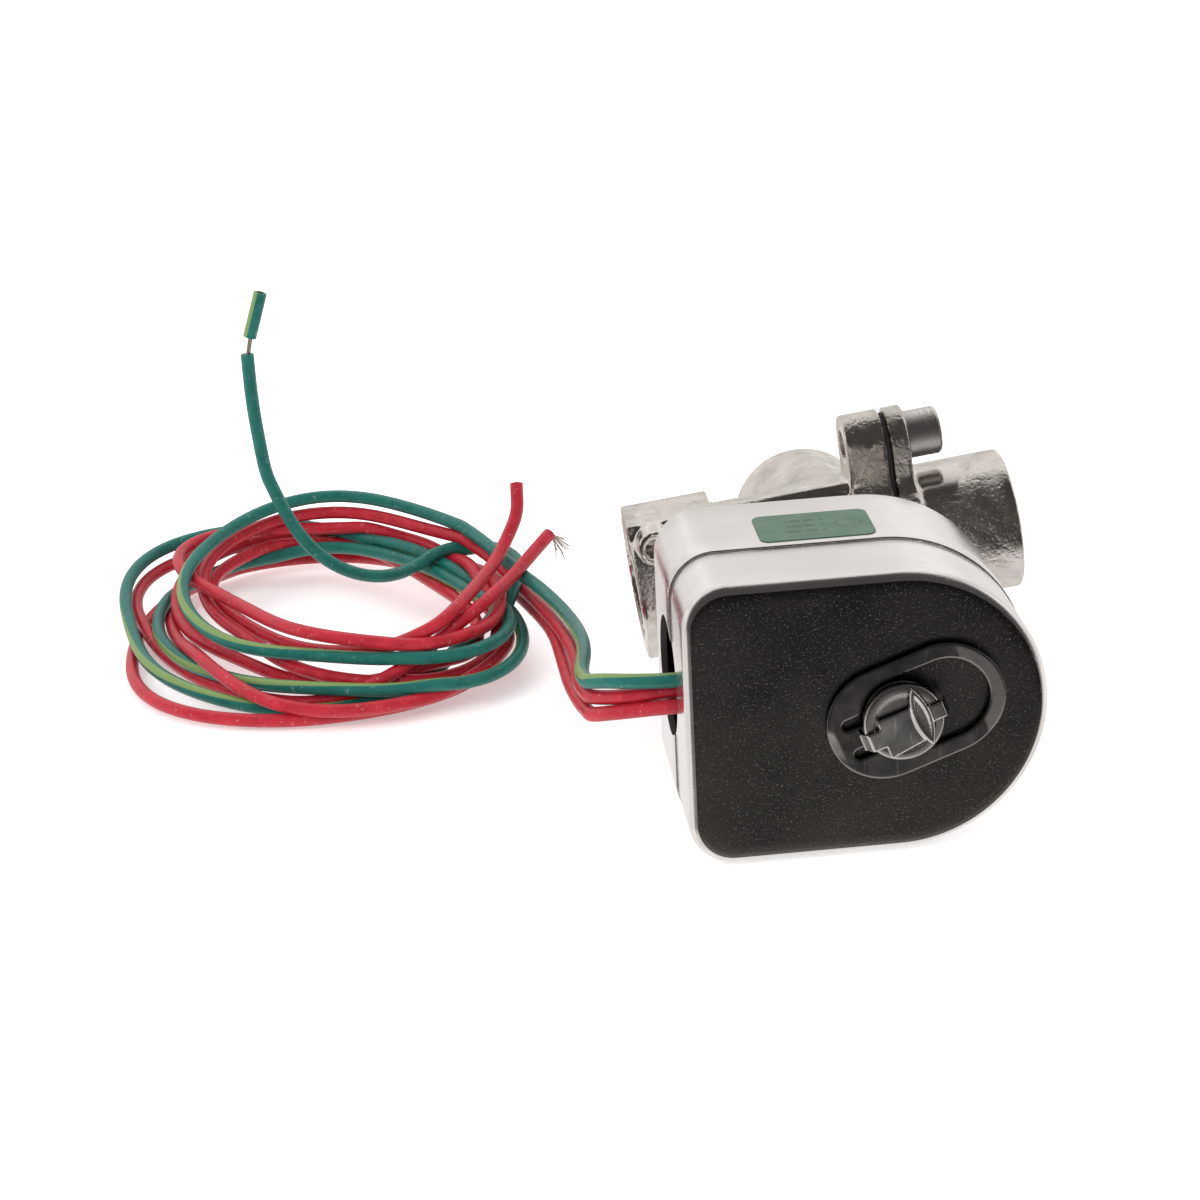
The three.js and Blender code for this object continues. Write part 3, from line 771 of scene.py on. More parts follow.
def pressed_cup(seam, face, edge, step, hole, wall):
    """A cup of the D's outline, open at the seam and closed at the face, with a round pressed edge.

    The edge is a quarter circle in (inset, depth). The rings run over the outside, in across the face to
    the hole, back across the inner face, and along the inner wall to the seam.
    """
    way = 1 if face > seam else -1
    quarter = np.linspace(0, np.pi / 2, 9)
    rows = [(step + wall, seam), (step + 0.22, seam), (step + 0.06, seam + way * 0.06),
            (step, seam + way * 0.22)]
    rows += [(step, y) for y in np.linspace(seam, face - way * edge, 5)[1:-1]]
    rows += [(step + edge * (1 - math.cos(a)), face - way * edge * (1 - math.sin(a))) for a in quarter]
    rings = [ring for inset, y in rows for ring in face_rings(inset, y, hole, [0])]
    rings += face_rings(step + edge, face, hole, np.linspace(0, 1, 14)[1:])
    rings += face_rings(step + max(wall, edge * 0.75), face - way * wall, hole, np.linspace(1, 0, 8))
    for y in np.linspace(face - way * (wall + 0.8), seam, 4)[:-1]:
        rings += face_rings(step + wall, y, hole, [0])
    return closed_rings(np.stack(rings), capped=False)


def conduit_cutter():
    """A bar through the flat end where the conduit hole goes."""
    group = settings("valve_housing")
    points, faces = turned([(group.conduit_radius / MM, -50), (group.conduit_radius / MM, -30)], 128)
    moved = np.stack([points[:, 1], group.conduit_depth / MM + points[:, 0],
                      group.conduit_rise / MM + points[:, 2]], 1)
    moved = coil_to_row(moved)
    return moved, outward(moved, faces)


class VALVE_OT_housing(bpy.types.Operator):
    """Build the front cover and the rear shell of the coil housing"""

    bl_idname = "valve.housing"
    bl_label = "Housing"

    def execute(self, context):
        group = settings("valve_housing")
        wall, step = group.wall / MM, group.cover_step / MM
        hole = (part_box("core_tube")[1].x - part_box("core_tube")[0].x) / 2 / MM
        cover = pressed_cup(depth("housing_front_cover", 1), 0.0, group.front_edge / MM, step, hole, wall)
        shell = pressed_cup(depth("housing_rear_shell", 0), depth("housing_rear_shell", 1),
                            group.rear_edge / MM, 0.0, hole, wall)
        cutter = conduit_cutter()
        for name, (points, faces) in (("housing_front_cover", cover), ("housing_rear_shell", shell)):
            points = coil_to_row(points)
            piece = add_piece(name + "_fine", points, outward(points, faces), "solenoid", [name],
                              [FINISHES["satin"], FINISHES["face"], FINISHES["inside"]])
            cut_hole(piece, *cutter)
            self.paint(piece, name)
        return {"FINISHED"}

    @staticmethod
    def paint(piece, name):
        """Gives the flat front its own finish, whose dark base colour is painted shade, and the inside
        another, darker than the outside.
        """
        mesh = piece.data
        normal = np.empty(len(mesh.polygons) * 3, np.float32)
        centre = np.empty_like(normal)
        mesh.polygons.foreach_get("normal", normal)
        mesh.polygons.foreach_get("center", centre)
        normal, centre = normal.reshape(-1, 3), centre.reshape(-1, 3)
        index = np.zeros(len(normal), np.int32)
        if name == "housing_front_cover":
            index[(normal[:, 1] < -0.9) & (centre[:, 1] < FRONT_Y + 0.2 * MM)] = 1
        middle_point = np.array([AXIS_X - 6 * MM, FRONT_Y + 21 * MM, AXIS_Z])
        inward = ((centre - middle_point) * normal).sum(1) < 0
        index[inward] = 2
        mesh.polygons.foreach_set("material_index", index)


class VALVE_OT_label(bpy.types.Operator):
    """Build the rating label as a thin film with round corners"""

    bl_idname = "valve.label"
    bl_label = "Rating label"

    def execute(self, context):
        low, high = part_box("rating_label")
        centre, half = (low + high) / 2, (high - low) / 2
        angle = np.linspace(0, 2 * np.pi, 96, endpoint=False)
        corner = 0.0018

        def rim(inset, z):
            """A rectangle with round corners: corner centres plus a quarter circle each."""
            x = np.sign(np.cos(angle)) * (half.x - corner) + (corner - inset) * np.cos(angle)
            y = np.sign(np.sin(angle)) * (half.y - corner) + (corner - inset) * np.sin(angle)
            return np.stack([centre.x + x, centre.y + y, np.full_like(x, z)], 1)

        rings = np.stack([rim(0, low.z), rim(0, high.z - 0.00005), rim(0.00005, high.z)])
        points, faces = closed_rings(rings)
        add_piece("rating_label_film", points, faces, "solenoid", ["rating_label"],
                  [FINISHES["label"]])
        return {"FINISHED"}


# ---- clip, strap and button ----


def clip_to_row(points):
    """Clip frame in mm (x along the clip's long axis) to row metres."""
    x, y, z = points.T
    turn = settings("valve_clip").turn
    cos, sin = math.cos(turn), math.sin(turn)
    return coil_to_row(np.stack([x * cos - z * sin, y, x * sin + z * cos], 1))


def clip_outline(x, z):
    """Flat field of the clip: an oval, less its opening and two round-ended fingers beside the tongue."""
    half = settings("valve_clip").half_width / MM
    left, right = -13.5 + half, 18.9 - half
    oval = np.hypot(x - np.clip(x, left, right), z) - half
    opening = np.hypot(x - np.clip(x, 0.4, right + 0.3), z) - (half - 3.0)
    tongue = block(x, z, np.zeros_like(x), (-9.9, -5.9), (-2.5, 1.5), (-9, 9), 0.3)
    hole = soft_cut(opening, tongue, 0.4)
    for height in (2.55, -3.55):
        finger = np.hypot(x - np.clip(x, -9.2, -5), z - height) - 1.05
        hole = soft_union(hole, finger, 0.5)
    return soft_cut(oval, hole, 0.1)


class VALVE_OT_clip(bpy.types.Operator):
    """Build the spring clip, the strap over the button, and the button end of the core tube"""

    bl_idname = "valve.clip"
    bl_label = "Clip, strap and button"

    def execute(self, context):
        self.clip()
        self.strap()
        self.tube()
        return {"FINISHED"}

    @staticmethod
    def clip():
        """A flat sheet from the outline field. Its right end bends away past a fold, its left lip down."""
        sheet = settings("valve_clip").sheet / MM
        back = depth("retaining_clip", 1)
        front = back - sheet

        def field(x, y, z):
            return slabbed(clip_outline(x, z), y, front, back, 0.26)

        points, faces = surface_of(field, (-14.5, front - 0.6, -11.5), (20, back + 0.6, 11.5), 0.22)
        x = points[:, 0]
        points[:, 1] -= 0.16 * np.maximum(x - 13.3, 0)
        lip = np.clip((-11.9 - x) / 1.6, 0, 1) * np.exp(-((points[:, 2] + 1.0) / 3.0) ** 4)
        points[:, 1] += 0.55 * lip
        points = clip_to_row(points)
        add_piece("retaining_clip_sheet", points, outward(points, faces), "valve", ["retaining_clip"],
                  [FINISHES["spring"]], smooth=50)

    @staticmethod
    def strap():
        """A thin sheet over the button: neck, plate, raised lens and a nose turned down over the edge."""
        front, thick = depth("name_strap", 0) + 0.15, 0.45

        def lens_outline(x, z):
            """Where two circles overlap."""
            return np.maximum(np.hypot(x + 7.2, z - 0.2) - 12.2, np.hypot(x - 13.4, z - 0.2) - 11.9)

        def outline(x, z):
            plate = block(x, z + 1.4, np.zeros_like(x), (-4.4, 3.6), (-3.9, 4.1), (-9, 9), 0.5)
            taper = np.abs(z + 0.8) - (4.3 - 0.12 * (x + 4.4))
            plate = np.maximum(plate, taper)
            neck = block(x, z, np.zeros_like(x), (-8.1, -3.8), (-2.6, 0.9), (-9, 9), 0.3)
            nose = block(x, z, np.zeros_like(x), (3.5, 8.2), (-1.5, 1.5), (-9, 9), 0.3)
            flat = soft_union(soft_union(plate, lens_outline(x, z), 0.3), neck, 0.5)
            return soft_union(flat, nose, 0.4)

        def field(x, y, z):
            return slabbed(outline(x, z), y, front, front + thick, 0.18)

        points, faces = surface_of(field, (-9, front - 0.5, -8), (9.2, front + thick + 0.5, 8), 0.16)
        x, z = points[:, 0].copy(), points[:, 2].copy()
        lens = lens_outline(x, z)
        raised = 0.42 * np.clip(-lens / 0.35, 0, 1) - 0.22 * np.clip((-lens - 0.75) / 0.25, 0, 1)
        drop_right = np.clip((x - 7.2) / 0.9, 0, 1) ** 1.5 * 1.9
        drop_left = np.clip((-6.6 - x) / 1.2, 0, 1) ** 1.3 * 1.7
        points[:, 1] += drop_right + drop_left - raised
        points = clip_to_row(points)
        add_piece("name_strap_sheet", points, outward(points, faces), "valve", ["name_strap"],
                  [FINISHES["strap"]], smooth=50)

    @staticmethod
    def tube():
        """The core tube as a turned profile: button with a raised rim and groove, then the long tube."""
        low, high = depth("core_tube", 0), depth("core_tube", 1)
        button = (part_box("core_tube")[1].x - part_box("core_tube")[0].x) / 2 / MM
        rim = [(4.6, low + 0.25), (5.3, low + 0.25), (5.5, low), (button - 0.4, low), (button, low + 0.45),
               (button, low + 1.75), (button - 0.35, low + 1.95)]
        tube_wall = [(5.7, low + 2.0), (5.7, -0.2), (6.6, 0.0), (6.6, high), (5.0, high), (5.0, 2.0),
                     (1.0, 2.0)]
        points, faces = turned(eased(rim + tube_wall, 0.18, 3), 112)
        add_piece("core_tube_turned", coil_to_row(points), faces, "valve", ["core_tube"],
                  [FINISHES["stainless"]], smooth=32)


# ---- castings ----


def flange_outline(y, z):
    """Flat field of the flange: a long oval over both lugs, joined to a round middle."""
    oval = np.hypot(y - PORT_Y, z - np.clip(z, *LUGS)) - 6.3
    return soft_union(oval, np.hypot(y - PORT_Y, z) - 15.0, 2.5)


def port_ring(face, way):
    """The machined end of a port, (radius, y) turned about the port's axis, with a helical thread inside.

    The thread is a rounded wave in the radius that moves on by one pitch a turn.
    """
    group = settings("valve_body_settings")
    bore, mouth, boss = group.bore_radius / MM, group.mouth_radius / MM, group.boss_radius / MM
    deep, crest = 14.2, bore + 0.75
    inner = [(crest, deep - 0.18 * k) for k in range(69)]
    outer = [(bore + 2.0, deep), (bore + 1.9, 3.0), (boss - 1.4, 1.6), (boss - 1.1, 0.35),
             (boss - 1.5, -0.06), (mouth + 0.15, -0.06), (mouth - 0.1, 0.12), (bore + 0.85, 1.75)]
    profile = [(radius, face - way * y) for radius, y in outer + inner[::-1]]

    def thread(radius, angle, y):
        inside = np.abs(radius - crest) < 1e-6
        along = (face - y) * way
        wave = 0.5 - 0.5 * np.cos(2 * np.pi * along / THREAD_PITCH + angle * way)
        fade = np.clip((along - 1.9) / 1.2, 0, 1)
        return radius - inside * fade * 0.85 * wave**0.7

    return turned(profile, 120, capped=False, ripple=thread)


class VALVE_OT_castings(bpy.types.Operator):
    """Build the valve body and the bolted port cover, with machined and threaded ports"""

    bl_idname = "valve.castings"
    bl_label = "Body and cover"

    def execute(self, context):
        self.body()
        self.cover()
        return {"FINISHED"}

    @staticmethod
    def body():
        """Bars along the run and the coil axis, flange, pad, rib and boss, joined with casting fillets."""
        step = settings("valve_body_settings").grain / MM
        boss = settings("valve_body_settings").boss_radius / MM

        def field(x, y, z):
            deep = y - PORT_Y
            flat = flange_outline(y, z)
            solid = rod(deep, z, x, boss + 0.4, LEFT_FACE, -21.3, 0.7)
            solid = soft_union(solid, rod(deep, z, x, boss, -26, 9, 0.5), 2.0)
            solid = soft_union(solid, rod(x, z, y, boss - 0.3, PORT_Y, REAR_FACE, 0.7), 2.6)
            solid = soft_union(solid, rod(x, z, y, boss - 1.2, depth("bonnet", 0) + 8.8, PORT_Y, 0.5), 2.6)
            flange = np.minimum(slabbed(flat, x, FLANGE_LEFT, GASKET_LEFT, 0.7),
                                slabbed(flat, x, 11, GASKET_LEFT, 0.2))
            solid = soft_union(solid, flange, 1.8)
            pad = block(x, deep, z, (LEFT_FACE, -20.8), (-6.4, 6.4), (0, 15.7), 0.5)
            solid = soft_union(solid, pad, 0.8)
            solid = soft_union(solid, rod(deep + 3.2, z - 13.9, x, 1.7, -17.5, 9, 1.5), 0.8)
            beside, above = x - SIDE_BOSS_X, z - SIDE_BOSS_Z
            solid = soft_union(solid, rod(beside, above, y, 3.4, 67.5, 78, 0.6), 1.4)
            for lug in LUGS:
                solid = soft_cut(solid, rod(deep, z - lug, x, SCREW_HOLE, 0, 20), 0.5)
            solid = soft_cut(solid, rod(beside, above, y, 1.9, 60, 74), 0.6)
            solid = soft_cut(solid, rod(deep, z, x, BORED, -45, -24.3, 0.3))
            solid = soft_cut(solid, rod(deep, z, x, PASSAGE, -45, 20, 0.3))
            solid = soft_cut(solid, rod(deep, z, x, DIAPHRAGM_ROOM, 12, 20, 0.3))
            solid = soft_cut(solid, rod(x, z, y, BORED, REAR_FACE - 14.2, REAR_FACE + 9, 0.3))
            solid = soft_cut(solid, rod(x, z, y, PASSAGE, PORT_Y, REAR_FACE + 9, 0.3))
            solid = soft_cut(solid, rod(x, z, y, 9.4, 40, 64, 0.3))
            return soft_cut(solid, rod(x, z, y, 3.6, 60, 68, 0.3))

        cast = surface_of(field, (-39.5, 51, -29), (16, REAR_FACE + 1.3, 29), step)
        left, left_faces = port_ring(LEFT_FACE, -1)
        left = along_run(left)
        rear = port_ring(REAR_FACE, 1)
        points, faces, owner = join(cast, (left, outward(left, left_faces)), rear)
        add_piece("valve_body_casting", valve_to_row(points), faces, "valve", ["valve_body"],
                  [FINISHES["cast"], FINISHES["machined"]], owner=owner, smooth=45)

    @staticmethod
    def cover():
        """Flange and round port in one casting, hollow inside."""
        step = settings("valve_body_settings").grain / MM
        boss = settings("valve_body_settings").boss_radius / MM

        def field(x, y, z):
            deep = y - PORT_Y
            flat = flange_outline(y, z)
            solid = np.minimum(slabbed(flat, x, GASKET_RIGHT, FLANGE_RIGHT, 0.7),
                               slabbed(flat, x, GASKET_RIGHT, 18.5, 0.2))
            solid = soft_union(solid, rod(deep, z, x, boss, 18, RIGHT_FACE, 0.7), 1.6)
            for lug in LUGS:
                solid = soft_cut(solid, rod(deep, z - lug, x, SCREW_HOLE, 10, 25), 0.3)
            solid = soft_cut(solid, rod(deep, z, x, BORED, 24.6, 45, 0.3))
            solid = soft_cut(solid, rod(deep, z, x, PASSAGE, 10, 45, 0.3))
            return soft_cut(solid, rod(deep, z, x, DIAPHRAGM_ROOM, 10, 19, 0.3))

        cast = surface_of(field, (15.5, PORT_Y - 17, -29), (39.8, PORT_Y + 17, 29), step)
        right, right_faces = port_ring(RIGHT_FACE, 1)
        right = along_run(right)
        points, faces, owner = join(cast, (right, outward(right, right_faces)))
        add_piece("port_cover_casting", valve_to_row(points), faces, "valve", ["port_cover"],
                  [FINISHES["cast"], FINISHES["machined"]], owner=owner, smooth=45)


# ---- small turned and pressed parts ----


def hexagon(radius_flat, angle):
    """Radius of a hexagon with that half width across flats, in a direction."""
    return radius_flat / np.cos((angle + np.pi / 6) % (np.pi / 3) - np.pi / 6)


def cap_screw(height):
    """A socket-head screw along the run: knurled head, round shank, hexagon socket.

    The knurl is two crossed helical waves in the head's radius, and the socket's rings are hexagons.
    """
    head = FLANGE_RIGHT + 0.05
    top = head + 6.8
    wide, socket_wide = 4.8, 2.8
    outside = [(3.0, 8.2), (3.0, head), (wide - 0.25, head), (wide, head + 0.25)]
    outside += [(wide, y) for y in np.linspace(head + 0.3, top - 0.9, 26)]
    outside += [(4.78, top - 0.6), (4.5, top - 0.15), (4.2, top)]
    inside = [(3.3, top), (socket_wide, top - 0.35), (socket_wide, top - 3.2), (0.6, top - 3.5)]

    def shape(radius, angle, y):
        knurl = np.abs(np.sin(30 * angle + y * 2.9)) * np.abs(np.sin(30 * angle - y * 2.9))
        on_head = (np.abs(radius - wide) < 1e-6) & (y > head + 0.5) & (y < top - 0.8)
        radius = radius + on_head * (0.13 * np.sqrt(knurl) - 0.1)
        socket = (np.abs(radius - socket_wide) < 1e-6) | (radius < 1)
        return np.where(socket, radius * hexagon(1.0, angle), radius)

    points, faces = turned(outside + inside, 240, ripple=shape)
    points = along_run(points, height)
    return points, outward(points, faces)


class VALVE_OT_fasteners(bpy.types.Operator):
    """Build the cap screws, bonnet, washer, gasket edge and passage plug"""

    bl_idname = "valve.fasteners"
    bl_label = "Screws, bonnet and gasket"

    def execute(self, context):
        for name, height in zip(("cap_screw_top", "cap_screw_bottom"), reversed(LUGS)):
            points, faces = cap_screw(height)
            add_piece(name + "_knurled", valve_to_row(points), faces, "valve", [name],
                      [FINISHES["screw"]], smooth=28)
        self.bonnet()
        self.washer()
        self.gasket()
        disc = [(0.3, 15.92), (1.75, 15.92), (2.1, 15.78), (2.15, 15.5), (2.15, 14.3), (0.3, 14.3)]
        points, faces = turned(eased(disc, 0.1), 48)
        points = np.stack([points[:, 0] - 34, PORT_Y + points[:, 2], points[:, 1]], 1)
        add_piece("passage_plug_disc", valve_to_row(points), outward(points, faces), "valve",
                  ["passage_plug"], [FINISHES["machined"]])
        return {"FINISHED"}

    @staticmethod
    def bonnet():
        """A hexagon whose corners are cut by a cone at each face, and the round spigot behind it."""
        low, high = depth("bonnet", 0), depth("bonnet", 1)
        shoulder = low + 8.5
        cone = [(12.3, low), (14.66, low + 1.35), (14.66, shoulder - 1.35), (12.6, shoulder)]
        profile = [(6.95, low)] + cone + [(9.0, shoulder + 0.01), (9.0, high), (6.95, high)]

        def shape(radius, angle, y):
            return np.where((radius > 12) & (y <= shoulder), np.minimum(radius, hexagon(12.7, angle)), radius)

        fine = eased(profile, 0.25, 3)
        points, faces = turned(fine, 144, capped=False, ripple=shape)
        add_piece("bonnet_hexagon", valve_to_row(points), outward(points, faces), "valve", ["bonnet"],
                  [FINISHES["stainless"]], smooth=30)

    @staticmethod
    def washer():
        """A flat ring pressed into three waves."""
        low, high = depth("spring_washer", 0), depth("spring_washer", 1)
        middle_y = (low + high) / 2
        profile = [(7.3, middle_y - 0.2), (11, middle_y - 0.2), (11, middle_y + 0.2), (7.3, middle_y + 0.2)]
        points, faces = turned(eased(profile, 0.1, 2), 120, capped=False)
        angle = np.arctan2(points[:, 2], points[:, 0])
        points[:, 1] += 0.19 * np.cos(3 * angle)
        add_piece("spring_washer_wave", valve_to_row(points), faces, "valve", ["spring_washer"],
                  [FINISHES["plain"]])

    @staticmethod
    def gasket():
        """The diaphragm sheet's rim. In each direction its radius is found by halving, where it comes
        within 0.15 mm of the flange's outline."""
        angle = np.linspace(0, 2 * np.pi, 240, endpoint=False)
        low, high = np.full_like(angle, 5.0), np.full_like(angle, 32.0)
        for _ in range(24):
            radius = (low + high) / 2
            out = flange_outline(PORT_Y + radius * np.cos(angle), radius * np.sin(angle)) > -0.15
            low, high = np.where(out, low, radius), np.where(out, radius, high)
        near, far, eye = GASKET_LEFT + 0.05, GASKET_RIGHT - 0.05, 7.3
        rings = [np.stack([np.full_like(angle, x), PORT_Y + r * np.cos(angle), r * np.sin(angle)], 1)
                 for x, r in ((near, eye), (near, radius - 1.0), (near + 0.15, radius - 0.8),
                              (far - 0.15, radius - 0.8), (far, radius - 1.0), (far, eye))]
        points, faces = closed_rings(np.stack(rings), capped=False)
        add_piece("diaphragm_sheet", valve_to_row(points), outward(points, faces), "valve", ["diaphragm"],
                  [FINISHES["rubber"]])


# ---- leads ----

# Where each lead lies outside its coil: x from the coil axis, y behind the front face, z over the floor.
GREEN_RUN = [
    (-27, 16, 32), (-33, 15, 31), (-39, 15.5, 30.5), (-45, 17.5, 30), (-50, 21, 29), (-53, 25, 27.5),
    (-54, 30, 26), (-53, 38, 24.5), (-51.5, 47, 23), (-51, 60, 21), (-51.5, 74, 18.5), (-54, 88, 17.5),
    (-57, 99, 17),
]
RED_RUN_A = [
    (-27, 17.5, 28), (-33, 17.5, 28), (-39, 17.5, 27.5), (-45, 19, 26.5), (-49.5, 22.5, 25),
    (-52.5, 27, 23.5), (-53.5, 33, 22), (-53.5, 42, 20.5), (-52.5, 51, 19), (-52.5, 63, 17),
    (-53.5, 77.5, 15), (-55.5, 93, 13), (-58, 105, 12),
]
RED_RUN_B = [
    (-27, 14.5, 25), (-33, 14.5, 25.5), (-39, 15, 25.5), (-44.5, 17, 24.5), (-49, 20, 23), (-52.5, 24.5, 21),
    (-53.5, 30, 19.5), (-54, 39, 18), (-54.5, 48, 16), (-54.5, 60, 14), (-54.5, 75, 12), (-55, 90, 10.5),
    (-57.5, 104.5, 9),
]
RED_TAIL_A = [
    (-77.5, 83.5, 16.5), (-75, 88, 18), (-72, 93, 18.5), (-68.5, 102, 18.5), (-64.5, 110.5, 20),
    (-62, 115, 22.5), (-59.5, 119, 26.5), (-59, 122, 32),
]
RED_TAIL_B = [
    (-73, 88.5, 15.5), (-69.5, 92, 16.5), (-66.5, 95.5, 17.5), (-63.5, 100, 18), (-60.5, 104.5, 19),
    (-57, 109.5, 20.5), (-53, 114.5, 22.5),
]
GREEN_TAIL = [
    (-70.5, 133.5, 14.5), (-79.5, 128, 13), (-85.5, 122, 12.5), (-91.5, 117.5, 14), (-99, 117, 17),
    (-103.5, 117.5, 20.5), (-107, 118.5, 25.5), (-109.5, 119.5, 31), (-112, 120, 39), (-113, 120, 48),
    (-113.5, 120, 57), (-113.5, 120, 66),
]
# The loose slug of insulation beyond the green lead's bare stretch.
SLUG = np.array([(-112.6, 120, 69.8), (-111, 120, 74.5), (-109.5, 120, 79)])
COIL_MIDDLE = (-103.5, 120.5)
COIL_MEAN = 36.0
STRIPE_START = math.radians(60)

# How each lead lies in the loose coil, one pair of rows to a turn: how far it is from the coil's middle, and
# how high over the floor, at each eighth of the turn, starting on the right and going round the back.
TURNS = {
    "green": [
        (38, 32, 35, 31, 30, 29, 32, 52), (18, 20, 21, 18, 14, 10, 10, 11),
        (30, 25, 31, 39, 36, 33, 40, 55), (11, 11, 10, 6, 5, 4, 6, 6),
        (32, 26, 37, 53, 41, 41, 42, 42), (12, 13, 12, 10, 5, 4, 2, 7),
        (45,), (15,),
    ],
    "red_a": [
        (40, 30, 35, 33, 24, 21, 34, 48), (14, 17, 17, 14, 9, 8, 6, 5),
        (34, 31, 32, 42, 22, 19, 31, 48), (13, 13, 14, 14, 13, 13, 14, 13),
        (35, 34, 40, 40, 30, 24, 32, 43), (12, 9, 11, 9, 5, 4, 3, 7),
        (28, 26, 35, 33, 20, 18, 26), (9, 9, 10, 9, 8, 8, 8),
    ],
    "red_b": [
        (42, 38, 47, 44, 41, 47, 46, 47), (8, 6, 3, 2, 2, 2, 2, 3),
        (36, 32, 40, 42, 32, 34, 48, 50), (6, 6, 4, 4, 4, 7, 4, 6),
        (33, 29, 38, 52, 37, 33, 40), (9, 8, 8, 6, 3, 2, 2),
    ],
}


def smooth_path(points, spacing):
    """A smooth curve through points, spread evenly at about the given spacing.

    Each span is a cubic with the speeds at its ends averaged from the spans on either side.
    """
    points = np.asarray(points, float)
    span = np.linalg.norm(np.diff(points, axis=0), axis=1)
    along = np.concatenate([[0], np.cumsum(span)])
    speed = np.diff(points, axis=0) / span[:, None]
    ease = (speed[:-1] * span[1:, None] + speed[1:] * span[:-1, None]) / (span[1:] + span[:-1])[:, None]
    ease = np.concatenate([speed[:1], ease, speed[-1:]])
    even = np.linspace(0, along[-1], max(2, int(round(along[-1] / spacing)) + 1))
    k = np.clip(np.searchsorted(along, even, side="right") - 1, 0, len(span) - 1)
    t = ((even - along[k]) / span[k])[:, None]
    reach = span[k][:, None]
    return ((2 * t**3 - 3 * t**2 + 1) * points[k] + (t**3 - 2 * t**2 + t) * reach * ease[k]
            + (3 * t**2 - 2 * t**3) * points[k + 1] + (t**3 - t**2) * reach * ease[k + 1])


def coil_route(name, run, tail):
    """One lead's whole route: out of the housing, round the coil, and off along its tail.

    Eighth by eighth the lead's distance from the middle and its height ease along one smooth curve, which
    is walked in short steps of the same length, 28 to a turn, and wound round the coil's middle.
    """
    rows = TURNS[name]
    distance, height = np.concatenate(rows[0::2]), np.concatenate(rows[1::2])
    around = np.arange(len(distance)) * np.pi / 4 * COIL_MEAN
    around, distance, height = smooth_path(np.stack([around, distance, height], 1), 8.0).T
    angle = around / COIL_MEAN
    x, y = COIL_MIDDLE[0] + distance * np.cos(angle), COIL_MIDDLE[1] + distance * np.sin(angle)
    return np.concatenate([run, np.stack([x, y, height], 1), tail])


def settle(routes, diameter, steps):
    """Lets the leads settle clear of each other: each step evens out bends a little, pushes apart points
    nearer than a diameter, and keeps them on the floor. The two ends of each lead are held."""
    count = [len(route) for route in routes]
    points = np.concatenate(routes)
    lead = np.repeat(np.arange(len(routes)), count)
    number = np.concatenate([np.arange(size_here) for size_here in count])
    left = np.repeat(count, count) - number
    free = ((number > 12) & (left > 12))[:, None]
    near = (lead[:, None] == lead[None]) & (np.abs(number[:, None] - number[None]) < 6)
    inner = np.flatnonzero(lead[2:] == lead[:-2]) + 1
    for _ in range(steps):
        move = np.zeros_like(points)
        move[inner] = 0.12 * (points[inner - 1] + points[inner + 1] - 2 * points[inner])
        points = points + move * free
        apart = points[:, None] - points[None]
        distance = np.sqrt((apart**2).sum(-1)) + 1e-9
        push = np.where((distance < diameter) & ~near, 0.4 * (diameter - distance) / distance, 0)
        points = points + (apart * push[..., None]).sum(1) * free
        points[:, 2] = np.maximum(points[:, 2], diameter / 2)
    return np.split(points, np.cumsum(count)[:-1])


def frames_along(path):
    """Unit vectors at each point of a path: two across it, carried along with no twist, and one ahead."""
    ahead = np.gradient(path, axis=0)
    ahead /= np.linalg.norm(ahead, axis=1, keepdims=True)
    side = np.empty_like(path)
    first = np.cross(ahead[0], (0, 0, 1.0))
    side[0] = first / np.linalg.norm(first)
    for k in range(1, len(path)):
        carried = side[k - 1] - ahead[k] * (side[k - 1] @ ahead[k])
        side[k] = carried / np.linalg.norm(carried)
    return side, np.cross(ahead, side), ahead


def tube(path, radius, sides=20, twist=0.0):
    """A round tube along a path: centre + r (side cos a + other sin a), with softly rounded cut ends.

    Its map holds the cosine of the way round, put in 0 to 1, so that it has no seam, and the distance along.
    twist turns the map round as it goes. Two more rings at each end, smaller and a little further out, in
    shares of the radius, round the cut.
    """
    side, other, ahead = frames_along(path)
    along = np.concatenate([[0], np.cumsum(np.linalg.norm(np.diff(path, axis=0), axis=1))])
    pick = np.concatenate([[0, 0], np.arange(len(path)), [-1, -1]])
    girth = radius * np.concatenate([[0.55, 0.93], np.ones(len(path)), [0.93, 0.55]])
    reach = radius * np.concatenate([[-0.0625, -0.05], np.zeros(len(path)), [0.05, 0.0625]])
    angle = np.linspace(0, 2 * np.pi, sides, endpoint=False) + np.pi / sides
    cos, sin = np.cos(angle)[None, :, None], np.sin(angle)[None, :, None]
    across = side[pick][:, None] * cos + other[pick][:, None] * sin
    centre = path[pick] + ahead[pick] * reach[:, None]
    points, faces = closed_rings(centre[:, None] + across * girth[:, None, None])
    far = along[pick][:, None]
    turn = 0.5 + 0.5 * np.cos(angle[None] + STRIPE_START + 2 * np.pi * twist * far)
    uv = np.stack([turn, np.repeat(far, sides, 1)], -1).reshape(-1, 2)
    return points, faces, np.concatenate([uv, [[0, 0], [0, along[-1]]]])


